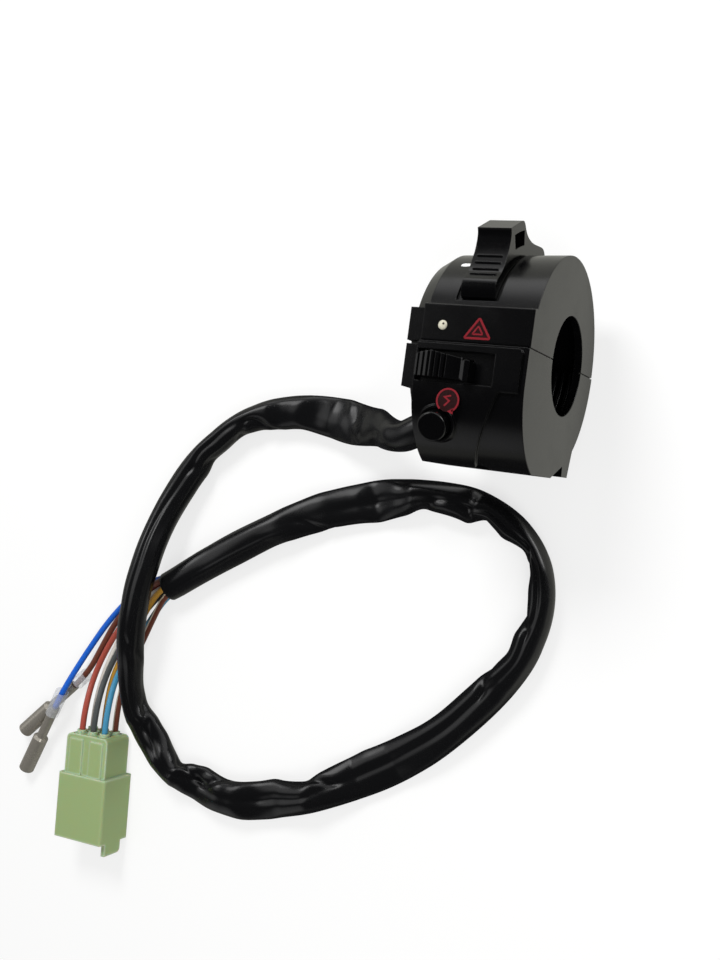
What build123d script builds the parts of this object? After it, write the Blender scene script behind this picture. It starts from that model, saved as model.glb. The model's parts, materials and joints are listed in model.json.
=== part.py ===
import os
from math import acos, cos, degrees, pi, radians, sin, sqrt, tan

from build123d import *

os.makedirs("parts", exist_ok=True)

# Right-hand handlebar switch cluster, lying on its back.
# X runs along the handlebar towards the grip, Z is the way the front panel faces,
# and Y is up once the cluster is mounted. The halves part on the plane y = 0,
# and the origin is the middle of the handlebar clamp bore. Lengths are in mm.

# Bores along the handlebar
bar_radius = 11.1
saddle_wall = 2.5
sleeve_radius = 15.0
clamp_length = 26.6
drum_width = 8.0
grip_wall = 2.4
partition_wall = 2.2

# Round body of the housing
round_axis_z = 3.8
round_radius = 31.6
round_draft = 1.0
lower_radius = 32.0
neck_length = 4.4
neck_radius = 28.0
housing_wall = 2.4
end_wall = 2.2

# Front band of the upper housing and front panel of the lower housing
band_height = 10.8
band_front = 35.6
panel_front = 36.3
panel_drop = 33.6
panel_raise = 1.0
lug_width = 4.5
lug_front = 34.9
upper_lug_height = 9.4
lower_lug_top = 1.0
lower_lug_drop = 13.2

# Headlight knob
knob_width = 10.2
knob_left = 0.0
knob_lean_angle = 27.0
knob_travel_angle = 28.0
knob_top = 41.2
channel_depth = 1.1
channel_side = 1.35

# Hazard slider
hazard_length = 16.8
hazard_height = 7.8
hazard_left = -8.0
hazard_middle = -6.9
hazard_top = 40.2
hazard_travel = 5.5

# Starter button
starter_x = -1.0
starter_drop = 22.6
starter_tilt_angle = 20.0
button_radius = 4.3
button_proud = 4.7
button_travel = 2.5
collar_radius = 5.3
collar_height = 1.1

# Harness sleeve, wires and connector
sleeve_diameter = 10.6
wire_diameter = 2.3
connector_width = 22.4
connector_height = 16.0
connector_length = 24.4
wire_block_width = 19.4
wire_block_height = 13.0
wire_block_length = 15.1
bullet_diameter = 6.0
bullet_length = 32.0

# Clearances shared by all fits
sliding_gap = 0.25
running_gap = 0.06
seat_gap = 0.15
overrun = 1.0

# Places along the handlebar that follow from the sizes above
clamp_end = clamp_length / 2
partition_x = clamp_end - partition_wall
chamber_end = clamp_end + drum_width
grip_face = chamber_end + grip_wall
neck_end = -clamp_end
body_left = neck_end + neck_length
inner_left = body_left + end_wall
body_length = grip_face - body_left
round_axis = Axis((0, 0, round_axis_z), (1, 0, 0))
saddle_outer = bar_radius + saddle_wall
table_z = round_axis_z - lower_radius


def polar(radius, angle):
    """A point (y, z) on a circle about the round body's axis, angle from +Y to +Z."""
    return (radius * cos(radians(angle)), round_axis_z + radius * sin(radians(angle)))


def surface_radius(x):
    """Outer radius of the upper housing at a place along the handlebar."""
    return round_radius - round_draft * (grip_face - x) / body_length


def sector(x_low, x_high, inner, outer, start, end, mode=Mode.ADD):
    """A ring sector about the round body's axis, between two places on X."""
    with BuildSketch(Plane.YZ.offset(x_low)) as face:
        with BuildLine():
            far = CenterArc((0, round_axis_z), outer, start, end - start)
            near = CenterArc((0, round_axis_z), inner, start, end - start)
            Line(far @ 0, near @ 0)
            Line(far @ 1, near @ 1)
        make_face()
    extrude(face.sketch, amount=x_high - x_low, mode=mode)


def block(x_span, y_span, z_span, mode=Mode.ADD):
    """A box between a low and a high value on each axis."""
    size = [span[1] - span[0] for span in (x_span, y_span, z_span)]
    middle = [(span[1] + span[0]) / 2 for span in (x_span, y_span, z_span)]
    with Locations(tuple(middle)):
        Box(*size, mode=mode)


def bar_cylinder(x_low, x_high, radius, mode=Mode.ADD, centre=(0, 0)):
    """A cylinder along X, centred on the handlebar unless told otherwise."""
    with BuildSketch(Plane.YZ.offset(x_low)) as face:
        with Locations(centre):
            Circle(radius)
    extrude(face.sketch, amount=x_high - x_low, mode=mode)


def turned(profile_points, mode=Mode.ADD):
    """A solid of revolution about the round body's axis from (x, radius) points."""
    with BuildSketch(Plane.XY.offset(round_axis_z)) as face:
        with BuildLine():
            Polyline(*profile_points, close=True)
        make_face()
    revolve(face.sketch, axis=round_axis, revolution_arc=360, mode=mode)


def save(piece, name):
    """Label a finished piece and write it out."""
    piece.part.label = name
    export_step(piece.part, f"parts/{name}.step")


# Screws that clamp the halves together: places (x, z), shank, head and boss
screw_radius = 2.0
screw_head_radius = 3.6
screw_head_height = 2.4
screw_boss_wall = 1.9
screw_well_radius = 4.1
screw_well_wall = 1.0
screw_reach = 7.6
screw_tip_wall = 1.8
screw_hole_gap = 0.2
screw_thread_gap = 0.03
screw_place_shares = [(0.63, 0.569), (-0.03, -0.594)]
screw_seat_shares = [0.851, 0.506]
screw_places = [(clamp_end * along, lower_radius * across) for along, across in screw_place_shares]
screw_seats = [-panel_drop * share for share in screw_seat_shares]
screw_boss_radius = screw_radius + screw_boss_wall
boss_rib_half = 0.9
boss_rib_reach = 3.0

# Light switch parts inside the upper housing, as radii from the round body's axis
board_outer = 22.6
board_thickness = 1.6
board_start_angle = -20.0
board_end_angle = 50.0
rail_width = 1.4
rail_left = -3.0
carrier_inner = 23.5
carrier_half_angle = 14.0
contact_thickness = 0.5
pad_thickness = 0.25
stem_half_width = 2.5
stem_half_angle = 7.0
stem_reach = 27.3
stem_middle = knob_left + knob_width / 2
slot_half_width = stem_half_width + sliding_gap
slot_extra_angle = 1.0
floor_radius = surface_radius(stem_middle) - channel_depth
shell_inner = surface_radius(stem_middle) - housing_wall
knob_front_angle = 37.0
knob_back_angle = 42.5
channel_extra_angle = 2.0
seam_depth = 0.5
seam_half = 0.2

# Upper housing: outer form, then the hollow inside it, then the finished shell
upper_outer = [
    (neck_end, 0),
    (neck_end, neck_radius),
    (body_left, round_radius - round_draft),
    (grip_face, round_radius),
    (grip_face, 0),
]
neck_inner = neck_end + end_wall
shell_left_radius = round_radius - round_draft - housing_wall
upper_inner = [
    (neck_inner, 0),
    (neck_inner, neck_radius - housing_wall),
    (inner_left, shell_left_radius),
    (chamber_end, round_radius - housing_wall),
    (chamber_end, 0),
]
edge_round = 0.6
with BuildPart() as upper_form:
    turned(upper_outer)
    split(bisect_by=Plane.XZ, keep=Keep.BOTTOM)
    block((body_left, grip_face), (0, band_height), (round_axis_z, band_front))
    block((neck_end, body_left), (0, upper_lug_height), (round_axis_z, lug_front))

with BuildPart() as upper_hollow:
    turned(upper_inner)
    block(
        (inner_left, chamber_end),
        (-overrun, band_height - housing_wall),
        (round_axis_z, band_front - housing_wall),
    )
    # What stays solid inside: the partition, saddle, screw bosses and board rails
    block(
        (partition_x, clamp_end),
        (-round_radius, round_radius),
        (-round_radius, band_front),
        mode=Mode.SUBTRACT,
    )
    bar_cylinder(neck_end, clamp_end, saddle_outer, mode=Mode.SUBTRACT)
    for x, z in screw_places:
        with BuildSketch(Plane.XZ) as boss_face:
            with Locations((x, z)):
                Circle(screw_boss_radius)
        extrude(boss_face.sketch, amount=-(screw_reach + screw_tip_wall), mode=Mode.SUBTRACT)
    rear_screw_x, rear_screw_z = screw_places[1]
    block(
        (rear_screw_x - boss_rib_half, rear_screw_x + boss_rib_half),
        (0, screw_reach + screw_tip_wall),
        (-round_radius, rear_screw_z + screw_boss_radius + boss_rib_reach),
        mode=Mode.SUBTRACT,
    )
    for low in (rail_left, partition_x - rail_width):
        sector(
            low,
            low + rail_width,
            board_outer,
            round_radius,
            board_start_angle,
            board_end_angle,
            mode=Mode.SUBTRACT,
        )

with BuildPart() as upper_housing:
    add(upper_form.part)
    band_corner = upper_housing.edges().filter_by(Axis.X).sort_by(Axis.Z)[-2:]
    fillet(band_corner, edge_round)
    add(upper_hollow.part, mode=Mode.SUBTRACT)
    # Channel for the knob, with the slot for its stem
    sector(
        knob_left - channel_side,
        knob_left + knob_width + channel_side,
        floor_radius,
        round_radius + overrun,
        knob_lean_angle - knob_travel_angle - knob_back_angle - channel_extra_angle,
        knob_lean_angle + knob_front_angle + channel_extra_angle,
        mode=Mode.SUBTRACT,
    )
    sector(
        stem_middle - slot_half_width,
        stem_middle + slot_half_width,
        shell_inner - overrun,
        floor_radius + overrun,
        knob_lean_angle - knob_travel_angle - stem_half_angle - slot_extra_angle,
        knob_lean_angle + stem_half_angle + slot_extra_angle,
        mode=Mode.SUBTRACT,
    )
    bar_cylinder(neck_end - overrun, clamp_end + overrun, bar_radius, mode=Mode.SUBTRACT)
    bar_cylinder(clamp_end, grip_face + overrun, sleeve_radius, mode=Mode.SUBTRACT)
    # Half of the shadow line where the two housings meet on the grip side
    block(
        (grip_face - seam_depth, grip_face + overrun),
        (0, seam_half),
        (-round_radius, band_front + overrun),
        mode=Mode.SUBTRACT,
    )
    for x, z in screw_places:
        with BuildSketch(Plane.XZ) as pilot_face:
            with Locations((x, z)):
                Circle(screw_radius + screw_thread_gap)
        extrude(pilot_face.sketch, amount=-screw_reach, mode=Mode.SUBTRACT)
save(upper_housing, "upper_housing")

# Lower housing outline in the YZ plane, with the front panel's flat and belly
belly_radius = 26.3
belly_reach_share = 0.9163
panel_flat = panel_drop - belly_reach_share * belly_radius
heel_z = 2.0
heel_angle = 203.0
heel_step = 1.0
quarter_angle = 90.0


def lower_outline(inset, top, x_low, x_high, mode=Mode.ADD):
    """The lower housing's section, drawn in by an inset and extruded along X."""
    belly_centre = (-panel_flat, panel_front - belly_radius)
    belly = belly_radius - inset
    rear = lower_radius - inset
    floor = inset - panel_drop
    front = panel_front - inset
    belly_end_angle = degrees(acos((floor + panel_flat) / belly))
    with BuildSketch(Plane.YZ.offset(x_low)) as face:
        with BuildLine():
            flat = Line((top, front), (-panel_flat, front))
            curve = CenterArc(belly_centre, belly, quarter_angle, belly_end_angle - quarter_angle)
            base = Line(curve @ 1, (floor, heel_z + heel_step * inset))
            Line(base @ 1, polar(rear, heel_angle))
            CenterArc((0, round_axis_z), rear, heel_angle, 3 * quarter_angle - heel_angle)
            if top:
                Line((0, round_axis_z - rear), (top, round_axis_z - rear))
            Line((top, round_axis_z - rear), flat @ 0)
        make_face()
    extrude(face.sketch, amount=x_high - x_low, mode=mode)


# Raised part of the front panel: right edge beside the slider, then a slanted edge
relief_right = 22.2
relief_top = 0.6
relief_step_y = 12.6
relief_step_x = 16.6
relief_foot_x = 7.7
relief_round = 1.2
relief_root = 15.0
lower_neck = [
    (neck_end, 0),
    (neck_end, neck_radius),
    (body_left, round_radius - round_draft),
    (body_left, 0),
]
with BuildPart() as panel_relief:
    with BuildSketch(Plane.XY.offset(relief_root)):
        with BuildLine():
            Polyline(
                (body_left, -relief_top),
                (relief_right, -relief_top),
                (relief_right, -relief_step_y),
                (relief_step_x, -relief_step_y),
                (relief_foot_x, -panel_drop),
                (body_left, -panel_drop),
                close=True,
            )
        make_face()
    extrude(amount=panel_front)
    fillet(panel_relief.edges().filter_by(Axis.Z).sort_by(Axis.X)[-3:-1], relief_round)
    lower_outline(-panel_raise, 0, body_left, grip_face, mode=Mode.INTERSECT)

# Cable leg at the back of the throttle drum chamber, with its port
leg_left = partition_x
leg_reach_share = 1.021875
leg_shares = [
    (-0.8438, -0.0938),
    (-0.925, -0.2688),
    (-leg_reach_share, -0.2844),
    (-leg_reach_share, -0.4688),
    (-0.7469, -0.5375),
    (-0.625, -0.375),
]
leg_points = [(lower_radius * across, lower_radius * up) for across, up in leg_shares]
port_radius = 2.4
port_drop_share = 0.378125
port_x = clamp_end + drum_width / 2
port_z = -port_drop_share * lower_radius
port_length = 6.5
port_seat = leg_reach_share * lower_radius - port_length
port_seat_radius = 3.4
port_seat_depth = 4.0

# Hazard slider's recess, slot, board and rails
recess_depth = 0.9
recess_floor = panel_front - recess_depth
recess_gap = 0.3
recess_span_x = (hazard_left - recess_gap, hazard_left + hazard_length + hazard_travel + recess_gap)
recess_half = hazard_height / 2 + 2 * recess_gap
recess_span_y = (hazard_middle - recess_half, hazard_middle + recess_half)
hazard_stem_x = 0.05
hazard_stem_half_x = 2.25
hazard_stem_span = (hazard_stem_x - hazard_stem_half_x, hazard_stem_x + hazard_stem_half_x)
hazard_stem_half = 2.0
hazard_slot_x = (hazard_stem_span[0] - recess_gap, hazard_stem_span[1] + hazard_travel + recess_gap)
hazard_slot_half = hazard_stem_half + recess_gap
hazard_slot_y = (hazard_middle - hazard_slot_half, hazard_middle + hazard_slot_half)
hazard_board_top = 27.2
hazard_board_half = 4.9
hazard_rail = 1.2
hazard_board_y = (hazard_middle - hazard_board_half, hazard_middle + hazard_board_half)
hazard_rail_drop = 0.6
hazard_rails = [
    ((inner_left, inner_left + hazard_rail), panel_front),
    ((partition_x - hazard_rail, partition_x), hazard_board_top + hazard_rail_drop),
]

# Starter button's axis: its plane stands on the front panel, local z outwards
starter_y = -starter_drop
belly_lift = sqrt((belly_radius + panel_raise) ** 2 - (starter_drop - panel_flat) ** 2)
starter_z = panel_front - belly_radius + belly_lift
starter_plane = Plane(
    origin=(starter_x, starter_y, starter_z),
    x_dir=(1, 0, 0),
    z_dir=(0, -sin(radians(starter_tilt_angle)), cos(radians(starter_tilt_angle))),
)
button_gap = 0.3
button_step = 2.6
flange_radius = 5.3
flange_thickness = 1.2
tube_wall = 1.2
tube_depth = 9.0
tube_radius = flange_radius + button_gap + tube_wall
collar_flare = 0.8

# Harness grommet in the neck's end wall, below the handlebar, on a slanted axis
grommet_y = -20.7
grommet_z = 1.0
grommet_wall = 0.6
exit_angle = 20.0
exit_reach = 8.0
sleeve_outer = sleeve_diameter / 2
grommet_radius = sleeve_outer + running_gap + grommet_wall
exit_plane = Plane(
    origin=(neck_end, grommet_y, grommet_z),
    x_dir=(0, 0, 1),
    z_dir=(-cos(radians(exit_angle)), -sin(radians(exit_angle)), 0),
)


def exit_cylinder(radius, mode=Mode.ADD):
    """A cylinder on the harness's axis through the neck's end wall."""
    with BuildSketch(exit_plane.offset(-exit_reach)) as face:
        Circle(radius)
    extrude(face.sketch, amount=2 * exit_reach, mode=mode)


# Ribs across the throttle drum chamber's rear wall
rib_count = 3
rib_pitch = 2.25
rib_width = 0.9
rib_inner = 17.6
rib_start_angle = 215.0
rib_sweep_angle = 55.0

with BuildPart() as lower_form:
    turned(lower_neck)
    split(bisect_by=Plane.XZ, keep=Keep.TOP)
    lower_outline(0, 0, body_left, grip_face)
    block((neck_end, body_left), (-lower_lug_drop, -lower_lug_top), (round_axis_z, lug_front))
    with BuildSketch(Plane.YZ.offset(leg_left)) as leg_face:
        with BuildLine():
            Polyline(*leg_points, close=True)
        make_face()
    extrude(leg_face.sketch, amount=grip_face - leg_left)
    add(panel_relief.part)
    # Collar round the starter button
    with BuildSketch(starter_plane.offset(collar_height)) as collar_face:
        Circle(collar_radius)
    with BuildSketch(starter_plane.offset(-collar_height)) as collar_foot:
        Circle(collar_radius + collar_flare)
    loft([collar_face.sketch.face(), collar_foot.sketch.face()])

with BuildPart() as lower_hollow:
    turned(
        [
            (neck_inner, 0),
            (neck_inner, neck_radius - housing_wall),
            (inner_left, shell_left_radius),
            (inner_left, 0),
        ]
    )
    lower_outline(housing_wall, overrun, inner_left, chamber_end)
    block(
        (partition_x, clamp_end),
        (-panel_drop, overrun),
        (-lower_radius, panel_front),
        mode=Mode.SUBTRACT,
    )
    bar_cylinder(neck_end, clamp_end, saddle_outer, mode=Mode.SUBTRACT)
    for (x, z), seat in zip(screw_places, screw_seats):
        with BuildSketch(Plane.XZ) as boss_face:
            with Locations((x, z)):
                Circle(screw_boss_radius)
        extrude(boss_face.sketch, amount=panel_drop, mode=Mode.SUBTRACT)
        with BuildSketch(Plane.XZ.offset(-seat - screw_well_wall)) as well_face:
            with Locations((x, z)):
                Circle(screw_well_radius + screw_well_wall)
        extrude(well_face.sketch, amount=panel_drop, mode=Mode.SUBTRACT)
    for span, top in hazard_rails:
        block(span, hazard_board_y, (hazard_board_top, top), mode=Mode.SUBTRACT)
    with BuildSketch(starter_plane.offset(-tube_depth)) as tube_face:
        Circle(tube_radius)
    extrude(tube_face.sketch, amount=2 * tube_depth, mode=Mode.SUBTRACT)
    for index in range(rib_count):
        rib_x = clamp_end + rib_pitch * (index + 1) - rib_width
        with BuildSketch(Plane.YZ.offset(rib_x)) as rib_face:
            with BuildLine():
                far = CenterArc((0, 0), lower_radius, rib_start_angle, rib_sweep_angle)
                near = CenterArc((0, 0), rib_inner, rib_start_angle, rib_sweep_angle)
                Line(far @ 0, near @ 0)
                Line(far @ 1, near @ 1)
            make_face()
        extrude(rib_face.sketch, amount=rib_width, mode=Mode.SUBTRACT)

# The slanted hole for the grommet, only as deep as the neck's end wall
with BuildPart() as grommet_hole:
    exit_cylinder(grommet_radius)
    block(
        (neck_end - overrun, neck_inner + running_gap),
        (-panel_drop, 0),
        (-neck_radius, neck_radius),
        mode=Mode.INTERSECT,
    )

with BuildPart() as lower_housing:
    add(lower_form.part)
    add(lower_hollow.part, mode=Mode.SUBTRACT)
    bar_cylinder(neck_end - overrun, clamp_end + overrun, bar_radius, mode=Mode.SUBTRACT)
    bar_cylinder(clamp_end, grip_face + overrun, sleeve_radius, mode=Mode.SUBTRACT)
    for (x, z), seat in zip(screw_places, screw_seats):
        with BuildSketch(Plane.XZ) as hole_face:
            with Locations((x, z)):
                Circle(screw_radius + screw_hole_gap)
        extrude(hole_face.sketch, amount=-seat, mode=Mode.SUBTRACT)
        with BuildSketch(Plane.XZ.offset(-seat)) as well_face:
            with Locations((x, z)):
                Circle(screw_well_radius)
        extrude(well_face.sketch, amount=panel_drop, mode=Mode.SUBTRACT)
    # Recess and slot for the hazard slider
    block(recess_span_x, recess_span_y, (recess_floor, hazard_top), mode=Mode.SUBTRACT)
    block(hazard_slot_x, hazard_slot_y, (hazard_board_top, hazard_top), mode=Mode.SUBTRACT)
    # Bore for the starter button, wider below the step that holds it in
    with BuildSketch(starter_plane.offset(-tube_depth)) as bore_face:
        Circle(flange_radius + button_gap)
    extrude(bore_face.sketch, amount=tube_depth - button_step, mode=Mode.SUBTRACT)
    with BuildSketch(starter_plane.offset(-tube_depth)) as mouth_face:
        Circle(button_radius + button_gap)
    extrude(mouth_face.sketch, amount=2 * tube_depth, mode=Mode.SUBTRACT)
    add(grommet_hole.part, mode=Mode.SUBTRACT)
    # Port for the throttle cable, with a seat on the chamber's side
    with BuildSketch(Plane.XZ.offset(port_seat)) as port_face:
        with Locations((port_x, port_z)):
            Circle(port_radius)
    extrude(port_face.sketch, amount=port_length + overrun, mode=Mode.SUBTRACT)
    with BuildSketch(Plane.XZ.offset(port_seat)) as seat_face:
        with Locations((port_x, port_z)):
            Circle(port_seat_radius)
    extrude(seat_face.sketch, amount=-port_seat_depth, mode=Mode.SUBTRACT)
    # The other half of the shadow line
    block(
        (grip_face - seam_depth, grip_face + overrun),
        (-seam_half, 0),
        (-lower_radius, panel_front + overrun),
        mode=Mode.SUBTRACT,
    )
save(lower_housing, "lower_housing")

# Screws along Y, with a crosshead recess
screw_shank = screw_reach - sliding_gap
cross_depth = 1.3
cross_half = 0.45
cross_reach = 2.1
screw_edge = 0.8
with BuildPart() as housing_screws:
    for (x, z), seat in zip(screw_places, screw_seats):
        with BuildSketch(Plane.XZ.offset(-seat)) as head_face:
            with Locations((x, z)):
                Circle(screw_head_radius)
        extrude(head_face.sketch, amount=screw_head_height)
        outer_end = Plane.XZ.offset(screw_head_height - seat)
        rim = housing_screws.edges().filter_by(GeomType.CIRCLE)
        fillet(rim.filter_by(lambda edge: outer_end.contains(edge.center()))[-1:], screw_edge)
        with BuildSketch(Plane.XZ.offset(-seat)) as shank_face:
            with Locations((x, z)):
                Circle(screw_radius)
        extrude(shank_face.sketch, amount=seat - screw_shank)
        for half_x, half_z in ((cross_reach, cross_half), (cross_half, cross_reach)):
            with Locations((x, seat - screw_head_height, z)):
                Box(2 * half_x, 2 * cross_depth, 2 * half_z, mode=Mode.SUBTRACT)
save(housing_screws, "housing_screws")

# Headlight knob: one side profile from the front ramp over the grip to the rear apron.
# Its places are shares of the knob's rise and of the angle it reaches from its lean.
knob_underside = floor_radius + sliding_gap
knob_rise = knob_top - knob_underside
knob_ramp_shares = [
    (0.0744, 1.0),
    (0.2196, 0.9324),
    (0.3194, 0.8378),
    (0.3013, 0.7297),
    (0.274, 0.6),
    (0.3648, 0.4351),
    (0.4918, 0.3135),
    (0.6552, 0.227),
    (0.8004, 0.1784),
    (1.0, 0.1622),
]
knob_back_shares = [
    (1.0, 0.16),
    (0.9637, 0.2259),
    (0.7459, 0.2847),
    (0.5009, 0.4282),
    (0.4465, 0.6),
    (0.5281, 0.8212),
    (0.5463, 0.9435),
    (0.4737, 0.9976),
]
knob_tail_share = 0.2559
window_depth = 4.0
window_low_share = 0.3557
window_high_share = 0.7459
window_start_angle = -10.0
window_end_angle = 2.5
rib_place_shares = [0.34, 0.44, 0.54, 0.64]
rib_radius = 0.45
rib_margin = 1.2


def knob_point(rise_share, angle):
    """A point (y, z) of the knob's profile, its angle counted from the lean."""
    return polar(knob_underside + rise_share * knob_rise, knob_lean_angle + angle)


with BuildPart() as light_knob:
    with BuildSketch(Plane.YZ.offset(knob_left)) as knob_face:
        with BuildLine():
            ramp = Spline(*[knob_point(rise, share * knob_front_angle) for rise, share in knob_ramp_shares])
            back = Spline(*[knob_point(rise, -share * knob_back_angle) for rise, share in knob_back_shares])
            Line(ramp @ 1, back @ 0)
            tail = Line(back @ 1, knob_point(knob_tail_share, -knob_back_angle))
            under = CenterArc(
                (0, round_axis_z),
                knob_underside,
                knob_lean_angle - knob_back_angle,
                knob_front_angle + knob_back_angle,
            )
            Line(tail @ 1, under @ 0)
            Line(under @ 1, ramp @ 0)
        make_face()
    extrude(knob_face.sketch, amount=knob_width)
    # Grip ribs lying across the ramp
    with BuildSketch(Plane.YZ.offset(knob_left + rib_margin)) as rib_face:
        for share in rib_place_shares:
            with Locations(ramp @ share):
                Circle(rib_radius)
    extrude(rib_face.sketch, amount=knob_width - 2 * rib_margin)
    for low in (knob_left, knob_left + knob_width - window_depth):
        sector(
            low,
            low + window_depth,
            knob_underside + window_low_share * knob_rise,
            knob_underside + window_high_share * knob_rise,
            knob_lean_angle + window_start_angle,
            knob_lean_angle + window_end_angle,
            mode=Mode.SUBTRACT,
        )
    sector(
        stem_middle - stem_half_width,
        stem_middle + stem_half_width,
        stem_reach,
        knob_underside + sliding_gap,
        knob_lean_angle - stem_half_angle,
        knob_lean_angle + stem_half_angle,
    )
save(light_knob, "light_knob")

# Carrier under the wall, keyed to the knob's stem
carrier_outer = 28.1
carrier_half_width = 4.5
pocket_angle = 0.2
ball_radius = 1.2
ball_hole = 1.3
ball_lift = 0.05
spring_wire = 0.2
spring_radius = 0.8
spring_pitch = 0.55
spring_room = 0.1
contact_hole = 1.6
contact_half_width = 3.9
contact_half_angle = 8.0
contact_inner = carrier_inner - contact_thickness
ball_centre = board_outer + ball_radius + ball_lift
spring_low = ball_centre + ball_radius + spring_room
spring_high = stem_reach - 2 * spring_room


def detent_plane(radius):
    """A plane across the light switch's detent at a radius, facing outwards."""
    y, z = polar(radius, knob_lean_angle)
    outward = (0, cos(radians(knob_lean_angle)), sin(radians(knob_lean_angle)))
    return Plane(origin=(stem_middle, y, z), x_dir=(1, 0, 0), z_dir=outward)


def coil(base, length, radius, wire, pitch):
    """A wire coil standing on a plane."""
    foot = base.offset(wire)
    height = length - 2 * wire
    with BuildPart() as turns:
        with BuildLine() as path:
            Helix(pitch, height, radius, center=foot.origin, direction=foot.z_dir)
        with BuildSketch(Plane(origin=path.line @ 0, z_dir=path.line % 0)) as ring:
            Circle(wire)
        sweep(ring.sketch, path=path.line, is_frenet=True)
    return turns.part


with BuildPart() as light_carrier:
    sector(
        stem_middle - carrier_half_width,
        stem_middle + carrier_half_width,
        carrier_inner,
        carrier_outer,
        knob_lean_angle - carrier_half_angle,
        knob_lean_angle + carrier_half_angle,
    )
    sector(
        stem_middle - stem_half_width - running_gap,
        stem_middle + stem_half_width + running_gap,
        stem_reach,
        carrier_outer + overrun,
        knob_lean_angle - stem_half_angle - pocket_angle,
        knob_lean_angle + stem_half_angle + pocket_angle,
        mode=Mode.SUBTRACT,
    )
    with BuildSketch(detent_plane(carrier_inner - overrun)) as bore_face:
        Circle(ball_hole)
    extrude(bore_face.sketch, amount=spring_high + overrun - carrier_inner, mode=Mode.SUBTRACT)
save(light_carrier, "light_carrier")

with BuildPart() as light_contact:
    sector(
        stem_middle - contact_half_width,
        stem_middle + contact_half_width,
        contact_inner,
        carrier_inner,
        knob_lean_angle - contact_half_angle,
        knob_lean_angle + contact_half_angle,
    )
    with BuildSketch(detent_plane(carrier_inner - overrun)) as hole_face:
        Circle(contact_hole)
    extrude(hole_face.sketch, amount=2 * overrun, mode=Mode.SUBTRACT)
save(light_contact, "light_contact")

with BuildPart() as light_detent_ball:
    with Locations(detent_plane(ball_centre).origin):
        Sphere(ball_radius)
save(light_detent_ball, "light_detent_ball")

with BuildPart() as light_detent_spring:
    add(coil(detent_plane(spring_low), spring_high - spring_low, spring_radius, spring_wire, spring_pitch))
save(light_detent_spring, "light_detent_spring")

with BuildPart() as light_terminal_board:
    sector(
        rail_left,
        partition_x,
        board_outer - board_thickness,
        board_outer,
        board_start_angle,
        board_end_angle,
    )
save(light_terminal_board, "light_terminal_board")

# Three pairs of fixed contacts, one for each place of the knob
track_width = 2.2
track_offset = 2.0
pad_half_angle = 4.0
light_step = knob_travel_angle / 2
with BuildPart() as light_fixed_contacts:
    for index in range(3):
        place = knob_lean_angle - index * light_step
        for low in (stem_middle + track_offset, stem_middle - track_offset - track_width):
            sector(
                low,
                low + track_width,
                board_outer,
                board_outer + pad_thickness,
                place - pad_half_angle,
                place + pad_half_angle,
            )
save(light_fixed_contacts, "light_fixed_contacts")

# Hazard slider: side profile and plan, with V grooves across its left part.
# Both outlines are shares of its length and of its height or half width.
slider_gap = 0.2
slider_foot = recess_floor + slider_gap
slider_rise = hazard_top - slider_foot
slider_half = hazard_height / 2
crest_share = 0.298
crest_x = hazard_left + crest_share * hazard_length
slider_side_shares = [
    (0.0, 0.0),
    (0.0, 0.783),
    (crest_share, 1.0),
    (0.595, 0.826),
    (0.774, 0.435),
    (0.81, 0.435),
    (0.821, 0.87),
    (0.893, 0.957),
    (0.97, 0.87),
    (1.0, 0.0),
]
slider_plan_shares = [
    (0.0, -0.86),
    (0.85, -0.88),
    (0.85, 0.6),
    (0.756, 0.667),
    (0.458, 0.846),
    (0.286, 1.0),
    (0.042, 0.795),
    (0.0, 0.66),
]
paddle_span_shares = [(0.833, -1.0), (1.0, 0.487)]
slider_edge = 0.4
groove_count = 6
groove_pitch = 1.6
groove_margin = 1.0
groove_half = 0.5
groove_depth = 0.8
crest_slope = 0.17
paddle_round = 1.1
hazard_stem_reach = 32.0


def slider_place(along, across):
    """A point (x, y) of the slider's plan, from shares of its length and half width."""
    return (hazard_left + along * hazard_length, hazard_middle + across * slider_half)


with BuildPart() as hazard_slider:
    with BuildSketch(Plane.XY.offset(slider_foot)) as slider_plan:
        with BuildLine():
            Polyline(*[slider_place(*share) for share in slider_plan_shares], close=True)
        make_face()
        fillet(slider_plan.vertices(), slider_edge)
        near, far = [slider_place(*share) for share in paddle_span_shares]
        with Locations(((near[0] + far[0]) / 2, (near[1] + far[1]) / 2)):
            RectangleRounded(far[0] - near[0], far[1] - near[1], paddle_round)
    extrude(slider_plan.sketch, amount=slider_rise + overrun)
    with BuildSketch(Plane.XZ.offset(-hazard_middle - slider_half - overrun)) as slider_side:
        with BuildLine():
            Polyline(
                *[
                    (hazard_left + along * hazard_length, slider_foot + up * slider_rise)
                    for along, up in slider_side_shares
                ],
                close=True,
            )
        make_face()
    extrude(slider_side.sketch, amount=hazard_height + 2 * overrun, mode=Mode.INTERSECT)
    for index in range(groove_count):
        groove_x = hazard_left + groove_margin + index * groove_pitch
        groove_top = hazard_top + overrun
        groove_low = hazard_top - groove_depth - abs(groove_x - crest_x) * crest_slope
        with BuildSketch(Plane.XZ.offset(-hazard_middle - slider_half - overrun)) as groove_face:
            with BuildLine():
                Polyline(
                    (groove_x, groove_low),
                    (groove_x + 2 * groove_half, groove_top),
                    (groove_x - 2 * groove_half, groove_top),
                    close=True,
                )
            make_face()
        extrude(groove_face.sketch, amount=hazard_height + 2 * overrun, mode=Mode.SUBTRACT)
    block(
        hazard_stem_span,
        (hazard_middle - hazard_stem_half, hazard_middle + hazard_stem_half),
        (hazard_stem_reach, slider_foot + slider_gap),
    )
save(hazard_slider, "hazard_slider")

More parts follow.
